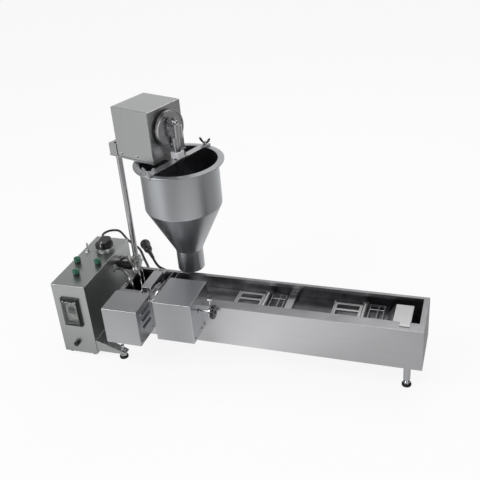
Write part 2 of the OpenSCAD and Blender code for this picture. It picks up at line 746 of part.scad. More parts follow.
// The heater: one tube from the box, over the left rim, along the floor and back.
heater_z = floor_z + 24;
heater_front_y = tank_y0 + 55;
heater_back_y = tank_y1 - 53;
heater_bend = (heater_back_y - heater_front_y) / 2;
heater_end_x = tank_x1 - 80 - heater_bend;
heater_path = concat(
    [wall_front - [8, 0, 0], wall_front + [9, 0, 0.5], wall_front + [26, -9, 6],
        [tank_x0 - 22, tank_y1 - 51, rim_z + 10], [tank_x0 - 5, tank_y1 - 70, rim_z + 14],
        [tank_x0 + 12, tank_y1 - 86, rim_z + 11], [tank_x0 + 23, tank_y1 - 94, rim_z - 2],
        [tank_x0 + 25, heater_front_y + 11, rim_z - 20], [tank_x0 + 26, heater_front_y + 8, heater_z + 16],
        [tank_x0 + 36, heater_front_y + 3, heater_z + 2], [tank_x0 + 62, heater_front_y, heater_z],
        [tank_x0 + 110, heater_front_y, heater_z], [heater_end_x - 50, heater_front_y, heater_z]],
    [for (a = [-90:22.5:90]) [heater_end_x + heater_bend * cos(a),
        (heater_front_y + heater_back_y) / 2 + heater_bend * sin(a), heater_z]],
    [[heater_end_x - 50, heater_back_y, heater_z], [tank_x0 + 110, heater_back_y, heater_z],
        [tank_x0 + 62, heater_back_y, heater_z], [tank_x0 + 36, tank_y1 - 51, heater_z + 2],
        [tank_x0 + 26, tank_y1 - 47, heater_z + 16], [tank_x0 + 25, tank_y1 - 44, rim_z - 20],
        [tank_x0 + 23, tank_y1 - 42, rim_z - 2], [tank_x0 + 12, tank_y1 - 36, rim_z + 12],
        [tank_x0 - 5, tank_y1 - 24, rim_z + 17], [tank_x0 - 24, tank_y1 - 7, rim_z + 19],
        wall_back + [26, -11, 11], wall_back + [9, 0, 1], wall_back - [8, 0, 0]]);

module heater_element() color(steel) {
    tube_along(smooth(heater_path, 3), heater_r, 10);
}

module heater_glands() color(steel) {
    for (w = [wall_front, wall_back]) translate(w) rotate([0, 90, 0]) difference() {
        union() {
            cylinder(h = 3, r = gland_r);
            cylinder(h = gland_t, r = gland_r - 3, $fn = 6);
        }
        translate([0, 0, -1]) cylinder(h = gland_t + 2, r = heater_r + hole_gap);
    }
}

// The black duct that carries the head's leads and the capillary from the box to the column's foot.
module cable_sleeve() color(black) {
    x1 = col_x - 16 - seat_gap;
    difference() {
        rod_x(ctrl_x1, x1, sleeve_at[0], sleeve_at[1], duct_r);
        rod_x(ctrl_x1 - 1, x1 + 1, sleeve_at[0], sleeve_at[1], duct_bore);
    }
}

col_z0 = rim_z - 90;
col_bore = col_r - 2;

module column() color(bright) {
    difference() {
        rod_z(col_z0, col_top, col_x, col_y, col_r);
        rod_z(col_z0 - 1, col_top + 1, col_x, col_y, col_bore);
    }
}

// The socket at the tank's corner: a tube on a plate, with a split collar above the rim.
module column_socket() color(steel) {
    tube_r = norm([col_out_x, col_out_y]) - 0.4;
    difference() {
        union() {
            rod_z(col_z0 - 4, collar_z0 + 1, col_x, col_y, tube_r);
            rod_z(collar_z0, collar_z0 + collar_h_socket, col_x, col_y, 15.5);
            span([col_x, tank_y1, rim_z - 80], [tank_x0 + 45, tank_y1 + socket_plate_t, rim_z - 16]);
            span([col_x, tank_y1, rim_z - 80], [tank_x0 + 8, tank_y1 + 9, rim_z - 16]);
        }
        rod_z(col_z0, collar_z0 + collar_h_socket + 1, col_x, col_y, col_r + run_gap);
        screw_holes([frame_screw_list[4], frame_screw_list[5]], 0);
        for (a = [-60, 10]) translate([col_x, col_y, collar_z0 + 17]) rotate([0, 0, a]) rotate([0, 90, 0])
            cylinder(h = 20, r = screw_hole_r);
    }
}

module frame_screws() color(bright) {
    for (s = frame_screw_list) translate(s[0]) rotate(s[1]) screw(s[2] - 0.1);
    for (a = [-60, 10]) translate([col_x, col_y, collar_z0 + 17]) rotate([0, 0, a]) rotate([0, 90, 0])
        translate([0, 0, 15.6]) screw(6, 4.5, 5);
}

// The louvred cover in front of the tank, over the paddle's motor.
motor_cover_x1 = motor_cover_x0 + motor_cover_w;
motor_cover_y0 = tank_y0 - motor_cover_d;
motor_cover_z1 = motor_cover_z0 + motor_cover_h;
louvre_l = 52;
louvre_h = 7;
louvre_step = 22;

module motor_cover() color(steel) {
    slot_z = [for (i = [0:louvres - 1]) motor_cover_z1 - 26 - i * louvre_step];
    slot_y0 = motor_cover_y0 + 24;
    difference() {
        union() {
            span([motor_cover_x0, motor_cover_y0, motor_cover_z0],
                [motor_cover_x1, tank_y0 - run_gap, motor_cover_z1]);
            for (z = slot_z) translate([motor_cover_x1 - 0.5, slot_y0, z]) rotate([-90, 0, 0])
                linear_extrude(louvre_l) polygon([[0, -louvre_h], [0.8, -louvre_h], [4.5, 0], [0, 0]]);
        }
        span([motor_cover_x0 + cover_t, motor_cover_y0 + cover_t, motor_cover_z0 + cover_t],
            [motor_cover_x1 - cover_t, tank_y0 + 1, motor_cover_z1 - cover_t]);
        for (z = slot_z) translate([motor_cover_x1 - cover_t - 1, slot_y0 + 1.2, z - 1]) rotate([-90, 0, 0])
            linear_extrude(louvre_l - 2.4) polygon([[0, -louvre_h + 2], [cover_t + 0.6, -louvre_h + 2],
                [cover_t + 3.8, -0.2], [cover_t + 3.8, 1.2], [0, 1.2]]);
        screw_holes([frame_screw_list[6], frame_screw_list[7]], 1);
        rod_x(motor_cover_x1 - 4, motor_cover_x1 + 1, link_start[1], link_start[2], link_r + run_gap);
    }
}

module paddle_motor() color(dark_steel) {
    half = motor_r + 2;
    difference() {
        union() {
            rod_y(motor_cover_y0 + 5, tank_y0 - 8, paddle_x, paddle_z, motor_r);
            span([paddle_x - half, tank_y0 - 9, paddle_z - half],
                [paddle_x + half, tank_y0, paddle_z + half]);
        }
        rod_y(tank_y0 - 40, tank_y0 - 5, paddle_x, paddle_z, paddle_shaft_r + run_gap);
        rod_y(tank_y0 - 5.5, tank_y0 + 1, paddle_x, paddle_z, paddle_shaft_r + 6.5);
    }
}

// The oil paddle: four blades on a shaft that the motor turns through the front wall.
module paddle_wheel() color(bright) {
    rod_y(tank_y0 - 38, tank_y1 - sheet_t - 2, paddle_x, paddle_z, paddle_shaft_r);
    translate([paddle_x, 0, paddle_z]) {
        rod_y(paddle_y0, paddle_y1, 0, 0, paddle_shaft_r + 4);
        for (a = [45:90:315]) rotate([0, a, 0])
            span([-1, paddle_y0 + 2, paddle_shaft_r + 2], [1, paddle_y1 - 2, paddle_r]);
    }
}

// The channel over the paddle, held on both rims by straps.
guard_w = 30;

module paddle_guard() color(bright) {
    x0 = paddle_x - guard_w / 2;
    x1 = paddle_x + guard_w / 2;
    y0 = tank_y0 + front_rim_w + 4;
    y1 = tank_y0 + 132;
    z1 = rim_z + 11;
    difference() {
        span([x0, y0, rim_z], [x1, y1, z1]);
        span([x0 + sheet_t, y0 - 1, rim_z - 1], [x1 - sheet_t, y1 + 1, z1 - sheet_t]);
    }
    for (x = [x0, x1 - 7]) span([x, tank_y0 + 22, rim_z], [x + 7, tank_y1 - 3, rim_z + sheet_t]);
}

// The two upright plates that lead the oil away from the paddle.
module guide_plates() color(steel) {
    x0 = deck_x0 + 4;
    x1 = flip_cover_x0 - 15;
    y0 = tank_y0 + front_rim_w + 4;
    y1 = tank_y1 - back_rim_w - 2;
    difference() {
        span([x0, y0, deck_z], [x1, y1, rim_z + 2]);
        span([x0 + sheet_t, y0 - 1, deck_z + sheet_t], [x1 - sheet_t, y1 + 1, rim_z + 3]);
    }
}

// The short conduit between the two drive covers.
link_r = 4.5;
link_start = [motor_cover_x1, tank_y0 - 16, motor_cover_z1 - 13];
link_end = [flip_cover_x0, tank_y0 + 6, rim_z + 20];

module link_conduit() color(bright) {
    path = [link_start - [5, 0, 0], link_start + [6, 0, 0], link_start + [17, 4, 6],
        link_end - [17, 5, -8], link_end - [6, 0, 0], link_end + [5, 0, 0]];
    tube_along(smooth(path, 4), link_r - 0.3, 10);
    for (p = [link_start, link_end - [5, 0, 0]]) rod_x(p[0], p[0] + 5, p[1], p[2], link_r + 2.5);
}

// The plain cover over the flipper drive. It straddles the front rim.
module flip_cover() color(steel) {
    y1 = flip_cover_y0 + flip_cover_d;
    t = cover_t;
    difference() {
        span([flip_cover_x0, flip_cover_y0, flip_cover_z0], [flip_cover_x1, y1, flip_cover_z1]);
        span([flip_cover_x0 + t, flip_cover_y0 + t, flip_cover_z0 + t],
            [flip_cover_x1 - t, y1 - t, flip_cover_z1 - t]);
        span([flip_cover_x0 - 1, tank_y0 - run_gap, flip_cover_z0 - 1], [flip_cover_x1 + 1, y1 + 1, rim_z]);
        rod_x(flip_cover_x1 - 4, flip_cover_x1 + 1, cam_y, cam_z, cam_shaft_r + 2);
        rod_x(flip_cover_x0 - 1, flip_cover_x0 + 4, link_end[1], link_end[2], link_r + run_gap);
        screw_holes([frame_screw_list[8], frame_screw_list[9]], 1);
    }
}

module flip_gearmotor() color(dark_steel) {
    x0 = flip_cover_x0 + cover_t + 1;
    x1 = drum_x0 - 3;
    difference() {
        union() {
            span([x0, tank_y0 - 60, rim_z - 28], [x1, tank_y0 - 6, rim_z + 24]);
            rod_x(x0, drum_x1 - 2, tank_y0 - 36, rim_z - 51, 22);
            span([x0, tank_y0 - 37, rim_z - 60], [x1, tank_y0 - run_gap, rim_z - 12]);
        }
        rod_x(x1 - 34, x1 + 1, cam_y, cam_z, cam_shaft_r + run_gap);
    }
}

// The cam shaft. Its drum has a helical groove that pushes the follower along at a steady rate.
module cam_shaft() color(bright) {
    steps = 36;
    difference() {
        union() {
            rod_x(drum_x0 - 36, wheel_x + 6, cam_y, cam_z, cam_shaft_r);
            rod_x(drum_x0, drum_x1, cam_y, cam_z, drum_r);
        }
        for (i = [0:steps]) translate([follower_x + rod_travel * i / steps, cam_y, cam_z])
            rotate([-180 * i / steps, 0, 0]) translate([0, drum_r - groove_depth, 0]) rotate([-90, 0, 0])
                cylinder(h = groove_depth + 1, r = groove_r, $fn = 24);
    }
}

// The hand wheel on the cam shaft's end, with a chrome collar and a spoke to turn it by.
module hand_wheel() color(black) {
    difference() {
        union() {
            rod_x(wheel_x, wheel_x + 10, cam_y, cam_z, wheel_r);
            rod_x(wheel_x - 6, wheel_x + 1, cam_y, cam_z, wheel_r - 7);
            rod_z(cam_z, cam_z + wheel_r + 18, wheel_x - 3, cam_y, 2.2);
            rod_x(wheel_x - 9, wheel_x + 5, cam_y, cam_z + wheel_r + 18, 2.8);
        }
        rod_x(wheel_x - 7, wheel_x + 7, cam_y, cam_z, cam_shaft_r + run_gap);
    }
}

// The push rod under the front rim, with the arm that reaches over the rim to the cam.
module push_rod() color(steel) {
    slot_x = pin_r + 1.8;
    arm_w = 12;
    x0 = follower_x - arm_w / 2;
    x1 = x0 + arm_w;
    arm_y1 = tank_y0 + front_rim_w + 9;
    bridge_z = rim_z + 8;
    t = 4;
    difference() {
        span([x0, rod_y0, rod_z0], [hinge_2_x + 12, rod_y1, rod_z1]);
        for (x = [hinge_1_x, hinge_2_x])
            translate([x - lever_r * sin(flip_angle / 2), 0, 0])
                span([-slot_x, rod_y0 - 1, hinge_z - 2],
                    [slot_x, rod_y1 + 1, hinge_z + lever_r + pin_r + 1]);
    }
    span([x0, rod_y1 - 1, rod_z0], [x1, arm_y1, rod_z0 + 8]);
    span([x0, arm_y1 - t, rod_z0], [x1, arm_y1, bridge_z + t]);
    span([x0, tank_y0 - 4, bridge_z], [x1, arm_y1, bridge_z + t]);
    span([x0, tank_y0 - 4, cam_z - 5], [x1, tank_y0 - 1, bridge_z + t]);
    rod_y(cam_y + drum_r - groove_depth + 0.6, tank_y0 - 3, follower_x, cam_z, follower_r);
}

// A flipper: a slotted plate on a shaft, with the lever that the push rod moves.
module flipper(x) {
    t = 2;
    edge = 8;
    slot_w = (plate_y1 - plate_y0 - 4 * edge) / 3;
    difference() {
        union() {
            span([x - flipper_l, plate_y0, hinge_z - t / 2], [x, plate_y1, hinge_z + t / 2]);
            span([x - flipper_l, plate_y0, hinge_z - t / 2], [x - flipper_l + t, plate_y1, hinge_z + 6]);
            rod_y(plate_y0 - 2, plate_y1 + 2, x, hinge_z, hinge_r + 2.5);
        }
        for (i = [0:2]) span([x - flipper_l + edge, plate_y0 + edge + i * (slot_w + edge), hinge_z - t],
            [x - 14, plate_y0 + edge + i * (slot_w + edge) + slot_w, hinge_z + t]);
    }
    rod_y(tank_y0 + 20, ear_y1 + ear_t + 3, x, hinge_z, hinge_r);
    translate([x, 0, hinge_z]) rotate([0, -flip_angle / 2, 0]) {
        span([-4, tank_y0 + 20, -4], [4, tank_y0 + 24, lever_r + 3.5]);
        rod_y(rod_y0 - 1, tank_y0 + 21, 0, lever_r, pin_r);
    }
}

module flipper_1() color(bright) flipper(hinge_1_x);
module flipper_2() color(bright) flipper(hinge_2_x);

// The head plate: a plate with a tongue over the crossbar, and the clamp block that rides on the column.
module head_plate() color(steel) on_head() {
    block_x0 = -20;
    block_x1 = cover_x0 - 1;
    difference() {
        union() {
            span([block_x0 - 2, cover_y0 - 2, head_z], [cover_x1 + 2, cover_y1 + 2, plate_z1]);
            span([cover_x1, arm_y - 25, head_z], [arm_x + 14, arm_y + 25, plate_z1]);
            span([block_x0, -13, head_z + 1], [block_x1, 18, plate_z1 + clamp_h]);
        }
        rod_z(head_z - 1, plate_z1 + clamp_h + 1, 0, 0, col_r + run_gap);
        rod_z(head_z - 1, plate_z1 + 1, arm_x, arm_y, plunger_r + hole_gap);
        translate([block_x0 - 1, 0, plate_z1 + 17]) rotate([0, 90, 0]) cylinder(h = 13, r = screw_hole_r);
        for (s = [-1, 1])
            rod_z(head_z - 1, plate_z1 + 1, bar_screw_x, arm_y + s * bar_screw_out, screw_hole_r);
    }
}

module head_cover() color(bright) on_head() {
    difference() {
        span([cover_x0, cover_y0, plate_z1], [cover_x1, cover_y1, plate_z1 + cover_h]);
        span([cover_x0 + cover_t, cover_y0 + cover_t, plate_z1 - 1],
            [cover_x1 - cover_t, cover_y1 - cover_t, plate_z1 + cover_h - cover_t]);
        rod_x(cover_x1 - 4, cover_x1 + 1, arm_y, crank_z, crank_shaft_r + 5);
        screw_holes(head_cover_screws, 1);
    }
}

head_cover_screws = [
    [[cover_x0 + 14, cover_y0, plate_z1 + 8], [90, 0, 0], cover_t],
    [[cover_x0 + 74, cover_y0, plate_z1 + 8], [90, 0, 0], cover_t],
    [[cover_x1, cover_y0 + 16, plate_z1 + cover_h - 24], [0, 90, 0], cover_t],
    [[cover_x1, cover_y0 + 24, plate_z1 + cover_h - 58], [0, 90, 0], cover_t]];

module head_screws() color(bright) on_head() {
    for (s = head_cover_screws) translate(s[0]) rotate(s[1]) screw(s[2] - 0.1);
    for (s = [-1, 1]) translate([bar_screw_x, arm_y + s * bar_screw_out, plate_z1])
        screw(plate_t + bar_t - 0.2, 4.5, s > 0 ? 22 : 5);
    translate([-20, 0, plate_z1 + 17]) rotate([0, -90, 0]) screw(10, 5, 6);
}

module head_gearmotor() color(dark_steel) on_head() {
    gear_x0 = cover_x0 + 56;
    gear_x1 = cover_x1 - 8;
    difference() {
        union() {
            span([gear_x0, arm_y - 36, plate_z1], [gear_x1, arm_y + 36, crank_z + 36]);
            rod_x(cover_x0 + 5, gear_x0 + 1, arm_y, crank_z, 34);
            span([cover_x0 + 16, arm_y - 20, plate_z1], [gear_x0, arm_y + 20, crank_z - 25]);
        }
        rod_x(gear_x1 - 30, gear_x1 + 1, arm_y, crank_z, crank_shaft_r + run_gap);
    }
}

// The crank disc, its shaft and its pin at top dead centre.
module crank_disc() color(bright) on_head() {
    rod_x(cover_x1 - 36, crank_x + 1, arm_y, crank_z, crank_shaft_r);
    difference() {
        rod_x(crank_x, crank_x + crank_t, arm_y, crank_z, crank_r);
        rod_x(crank_x + crank_t - 2.5, crank_x + crank_t + 1, arm_y, crank_z, crank_r - 5);
    }
    rod_x(crank_x + crank_t - 4, crank_x + crank_t, arm_y, crank_z, crank_shaft_r + 4);
    rod_x(crank_x + crank_t - 3, pin_x1, arm_y, crank_z + crank_throw, 6);
}

// The connecting rod: an eye in front of the crank pin, and the rod down to the plunger.
module con_rod() color(bright) on_head() {
    x0 = pin_x1 + seat_gap;
    rod_x(x0, x0 + eye_t, arm_y, crank_z + crank_throw, eye_r);
    rod_x(x0 + eye_t - 1, x0 + eye_t + 4, arm_y, crank_z + crank_throw, 7);
    rod_z(rod_top, crank_z + crank_throw - 4, link_x, arm_y, plunger_r + 1);
}

// The plunger: the rod, the piston that fills the nozzle, and the cone that forms the ring's hole.
module plunger() color(bright) on_head() {
    piston_z = die_z + 18;
    translate([arm_x, arm_y, 0]) {
        rod_z(die_z + 4, rod_top, 0, 0, plunger_r);
        rod_z(piston_z, piston_z + 9, 0, 0, nozzle_r - hopper_t - seat_gap);
        translate([0, 0, die_z]) rotate_extrude()
            polygon([[0, 0], [nozzle_r - 16, 0], [nozzle_r - 15, 4], [plunger_r - 1, 12], [0, 12]]);
    }
}

module guide_block() color([0.9, 0.9, 0.88]) on_head() {
    difference() {
        span([arm_x - block_w / 2, arm_y - block_w / 2, plate_z1],
            [arm_x + block_w / 2, arm_y + block_w / 2, plate_z1 + block_h]);
        rod_z(plate_z1 - 1, plate_z1 + block_h + 1, arm_x, arm_y, plunger_r + run_gap);
    }
}

module crossbar() color(bright) on_head() {
    difference() {
        span([arm_x - bar_w / 2, arm_y - bar_half, flange_z], [arm_x + bar_w / 2, arm_y + bar_half, head_z]);
        rod_z(flange_z - 1, head_z + 1, arm_x, arm_y, plunger_r + hole_gap);
        for (s = [-1, 1]) {
            rod_z(flange_z - 1, head_z + 1, bar_screw_x, arm_y + s * bar_screw_out, screw_hole_r);
            rod_z(flange_z - 1, head_z + 1, arm_x, arm_y + s * bolt_out, wing_r + run_gap);
        }
    }
}

// The hopper: flange, bowl, cone and nozzle turned as one shell, with the nuts for the wing bolts.
module hopper() color(steel) on_head() {
    t = hopper_t;
    difference() {
        union() {
            translate([arm_x, arm_y, 0]) rotate_extrude($fn = 96)
                polygon([[nozzle_r, nozzle_z0], [nozzle_r, cone_z0 - 2], [nozzle_r + 1.2, cone_z0 - 2],
                    [nozzle_r + 1.2, cone_z0], [bowl_r, bowl_z0], [bowl_r, flange_z - 5],
                    [flange_r, flange_z - 5], [flange_r, flange_z], [bowl_r - t, flange_z],
                    [bowl_r - t, bowl_z0], [nozzle_r - t, cone_z0], [nozzle_r - t, nozzle_z0]]);
            for (s = [-1, 1]) translate([arm_x, arm_y + s * bolt_out, flange_z - 11])
                cylinder(h = 7, r = 5.5, $fn = 6);
        }
        for (s = [-1, 1]) rod_z(flange_z - 20, flange_z + 1, arm_x, arm_y + s * bolt_out, wing_r + run_gap);
    }
}

// A wing bolt that holds the crossbar down on the hopper's flange.
module wing_bolt(side, turn) {
    wing_t = 3;
    on_head() translate([arm_x, arm_y + side * bolt_out, head_z + run_gap]) {
        rod_z(-bar_t - 12, 1, 0, 0, wing_r);
        cylinder(h = 8, r = 5.5);
        rotate([0, 0, turn]) for (m = [0, 1]) mirror([m, 0, 0]) translate([0, wing_t / 2, 0])
            rotate([90, 0, 0]) linear_extrude(wing_t)
                polygon([[3, 2], [8, 3], [16, 10], [19, 17], [16, 20], [12, 18], [7, 10], [3, 8]]);
    }
}

module wing_bolt_front() color(bright) wing_bolt(-1, 20);
module wing_bolt_back() color(bright) wing_bolt(1, 8);

// The gland's nose tapers down to where the mains cord comes out.
cord_start = [cord_exit[0], ctrl_y1 + cord_gland_l + cord_relief_l, cord_exit[1]];

module cord_gland() color(black) {
    translate([cord_exit[0], ctrl_y1, cord_exit[1]]) rotate([-90, 0, 0]) {
        rotate_extrude() polygon([[0, 0], [cord_r + 5, 0], [cord_r + 5, cord_gland_l],
            [cord_r + 3.5, cord_gland_l + 1], [cord_r + 1.2, cord_gland_l + cord_relief_l],
            [0, cord_gland_l + cord_relief_l]]);
        cylinder(h = 5, r = cord_r + 9, $fn = 6);
    }
}

function along(angle) = [cos(angle), sin(angle), 0];

// The coil starts on its outer turn, spirals in, climbs a layer in half a turn and spirals out again.
function coil_radius(a) = coil_in_r + coil_pitch * abs(a - coil_sweep / 2) / 360;

function eased(t) = t * t * (3 - 2 * t);

function coil_height(a) = cord_lie + coil_pitch * eased(min(1, max(0, (a - coil_sweep / 2 + 90) / 180)));

function coil_point(a) = [coil_mid[0], coil_mid[1], coil_height(a)]
    + coil_radius(a) * along(coil_heading - 90 + a);

coil_turns_path = [for (i = [0:coil_rings * coil_sweep / 360]) coil_point(i * 360 / coil_rings)];
coil_start = coil_turns_path[0] - coil_end_l * along(coil_heading);
coil_end = coil_turns_path[len(coil_turns_path) - 1] - coil_end_l * along(coil_heading);
coil_path = concat([coil_start, coil_start + coil_end_l / 2 * along(coil_heading)], coil_turns_path,
    [coil_end + coil_end_l / 2 * along(coil_heading), coil_end]);

// The least gap between turns that lie more than half a turn apart.
coil_self_gap = min([for (i = [0:len(coil_path) - 1]) for (j = [i + coil_rings / 2:1:len(coil_path) - 1])
    norm(coil_path[i] - coil_path[j])]) - 2 * cord_r;
echo(coil_self_gap = coil_self_gap);

plug_back = [plug_at[0], plug_at[1], plug_r + seat_gap] + (plug_l + plug_relief_l) * along(plug_heading);
cord_out_points = [
    cord_start, cord_start + [0, 14, 0], cord_start + [-2, 36, -6], cord_start + [-7, 60, -20],
    cord_start + [-16, 83, -34], [-503, 300, 5], [-540, 338, 5], [-580, 372, 5], [-622, 404, 5],
    [-664, 438, 5], [-704, 473, 5], [-737, 508, 5], [-759, 543, 5], [-761, 568, 5], [-747, 588, 5],
    [-722, 595, 5], [-700, 585, 5], [-671, 558, 5], [-643, 531, 5], [-602, 500, 5], [-565, 472, 5],
    [-520, 413, 5], [-484, 366, 5], [-462, 331, 5], [-453, 294, 5],
    coil_start - 2 * coil_end_l * along(coil_heading), coil_start];
cord_back_points = [
    plug_back, plug_back + 14 * along(plug_heading) - [0, 0, 2], [-455, 378, 11], [-439, 366, 6],
    [-418, 356, 5], [-394, 343, 7], coil_end - 2 * coil_end_l * along(coil_heading),
    coil_end];

function path_length(p) = len(p) < 2 ? 0 : [for (i = [1:len(p) - 1]) norm(p[i] - p[i - 1])]
    * [for (i = [1:len(p) - 1]) 1];

cord_sides = 8;
cord_out_path = smooth(cord_out_points, 2);
cord_back_path = smooth(cord_back_points, 2);
echo(cord_length = path_length(cord_out_path) + path_length(coil_path) + path_length(cord_back_path));

module mains_cord_out() color(black) {
    tube_along(cord_out_path, cord_r, cord_sides);
}

module mains_coil() color(black) {
    tube_along(coil_path, cord_r, coil_sides);
}

module mains_cord_back() color(black) {
    tube_along(cord_back_path, cord_r, cord_sides);
}

// The plug lies on its side. Its axis runs along the cord, and its two pins point away from it.
module mains_plug() color(black) {
    translate([plug_at[0], plug_at[1], plug_r + seat_gap]) rotate([0, 0, plug_heading]) {
        rotate([0, 90, 0]) rotate_extrude() polygon([[0, 0], [plug_r - 1, 0], [plug_r, 1], [plug_r, 13],
            [plug_r - 2.5, 20], [plug_r - 3.5, plug_l - 8], [plug_r - 7, plug_l],
            [cord_r + 4, plug_l + 2], [cord_r + 1.2, plug_l + plug_relief_l], [0, plug_l + plug_relief_l]]);
        for (s = [-1, 1]) rod_x(-pin_l, 1, s * pin_off, 0, 2.4);
    }
}

tank_shell();
flow_deck();
weir_plate();
out_ramp();
landing_racks();
foot_stems();
foot_pads();
foot_bracket();
control_box();
control_back();
breaker_bezel();
breaker_body();
button_collars();
toggle_collar();
dial_plate();
thermostat();
heater_element();
heater_glands();
cable_sleeve();
column();
column_socket();
frame_screws();
motor_cover();
paddle_motor();
flip_cover();
flip_gearmotor();
paddle_guard();
guide_plates();
link_conduit();
cord_gland();
mains_cord_out();
mains_coil();
mains_cord_back();
mains_plug();
paddle_wheel();
cam_shaft();
hand_wheel();
push_rod();
flipper_1();
flipper_2();
dial_knob();
toggle_lever();
green_button_1();
green_button_2();
green_button_3();
fuse_cap();
breaker_lever();
breaker_flap();
head_plate();
head_cover();
head_gearmotor();
guide_block();
crossbar();
hopper();
wing_bolt_front();
wing_bolt_back();
crank_disc();
con_rod();
plunger();
head_screws();
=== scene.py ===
"""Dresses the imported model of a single-row donut fryer and lights it as a product on a pale floor.

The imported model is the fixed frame. Every piece is made in metres in its frame: the floor is z = 0,
+X runs from the control box to the outlet, and the operator stands at -Y.
"""

import json
import logging
import math
from collections.abc import Sequence
from dataclasses import dataclass
from enum import Enum

import bmesh
import bpy
from mathutils import Matrix, Vector

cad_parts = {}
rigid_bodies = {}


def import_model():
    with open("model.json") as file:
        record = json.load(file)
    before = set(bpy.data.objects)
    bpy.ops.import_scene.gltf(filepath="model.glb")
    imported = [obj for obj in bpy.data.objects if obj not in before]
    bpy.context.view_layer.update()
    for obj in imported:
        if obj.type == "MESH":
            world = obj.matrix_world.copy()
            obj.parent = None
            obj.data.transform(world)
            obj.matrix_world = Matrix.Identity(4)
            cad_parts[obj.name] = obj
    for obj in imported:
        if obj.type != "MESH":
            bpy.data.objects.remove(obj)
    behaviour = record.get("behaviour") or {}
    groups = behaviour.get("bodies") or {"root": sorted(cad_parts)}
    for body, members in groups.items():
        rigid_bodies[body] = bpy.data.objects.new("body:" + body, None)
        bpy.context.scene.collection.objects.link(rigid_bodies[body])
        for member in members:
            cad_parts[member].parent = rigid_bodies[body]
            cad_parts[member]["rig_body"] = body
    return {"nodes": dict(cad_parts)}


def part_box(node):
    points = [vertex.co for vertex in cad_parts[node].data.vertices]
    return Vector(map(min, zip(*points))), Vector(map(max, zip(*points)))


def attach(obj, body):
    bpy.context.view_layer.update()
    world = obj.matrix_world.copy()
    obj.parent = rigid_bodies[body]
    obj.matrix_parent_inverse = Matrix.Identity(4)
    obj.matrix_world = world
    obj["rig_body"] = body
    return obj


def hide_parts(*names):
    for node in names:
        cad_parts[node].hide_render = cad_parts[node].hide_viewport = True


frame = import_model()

MM = 0.001
PHOTO_PIXELS = 480
# The span of values that a noise pattern mostly lies in.
NOISE_LOW, NOISE_HIGH = 0.3, 0.7
# The smallest radius of a turned mesh, in millimetres, so that its middle has no doubled points.
AXIS_GAP = 0.01
# Faces that meet flatter than the first angle are one face, and edges sharper than the second get a radius.
FLAT_ANGLE, EDGE_ANGLE = math.radians(0.6), math.radians(40)
# Points nearer than the first length are one, and an edge nearer than the second to its node's box is outer.
WELD, ON_BOX = 1e-6, 2e-5
HEAD_YAW = math.radians(-18.5)
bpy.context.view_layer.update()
log = logging.getLogger("donut_fryer")

Pair = tuple[float, float]
Point = tuple[float, float, float]
Profile = Sequence[Pair]
Mesh = bmesh.types.BMesh
Tree = bpy.types.NodeTree
Node = bpy.types.Node
Socket = bpy.types.NodeSocket


class Body(Enum):
    """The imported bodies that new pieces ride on."""

    FRAME = "frame"
    HEAD = "head"
    CAM = "cam"
    DIAL = "dial"


class Grain(Enum):
    """The way a brushed or turned surface was worked."""

    ALONG_X = 0
    ALONG_Y = 1
    ALONG_Z = 2


def to_linear(hex_colour: str) -> tuple[float, float, float, float]:
    """Turns an sRGB hex colour into Blender's linear colour.

    Args:
        hex_colour: six hex digits after a hash sign.

    Returns:
        Linear red, green and blue, and an alpha of 1.
    """
    parts = [int(hex_colour[i : i + 2], 16) / 255 for i in (1, 3, 5)]
    linear = [p / 12.92 if p <= 0.04045 else ((p + 0.055) / 1.055) ** 2.4 for p in parts]
    return (linear[0], linear[1], linear[2], 1.0)


def add_node(tree: Tree, kind: str, inputs: dict | None = None, **settings: str) -> Node:
    """Adds a shader node with its settings and links.

    Args:
        tree: the node tree it goes into.
        kind: the node's type name, without its prefix.
        inputs: for each input, by name or number, a value or the output socket that feeds it.
        settings: properties of the node.

    Returns:
        The new node.
    """
    node = tree.nodes.new("ShaderNode" + kind)
    for key, value in settings.items():
        setattr(node, key, value)
    for key, value in (inputs or {}).items():
        if isinstance(value, Socket):
            tree.links.new(value, node.inputs[key])
        else:
            node.inputs[key].default_value = value
    return node


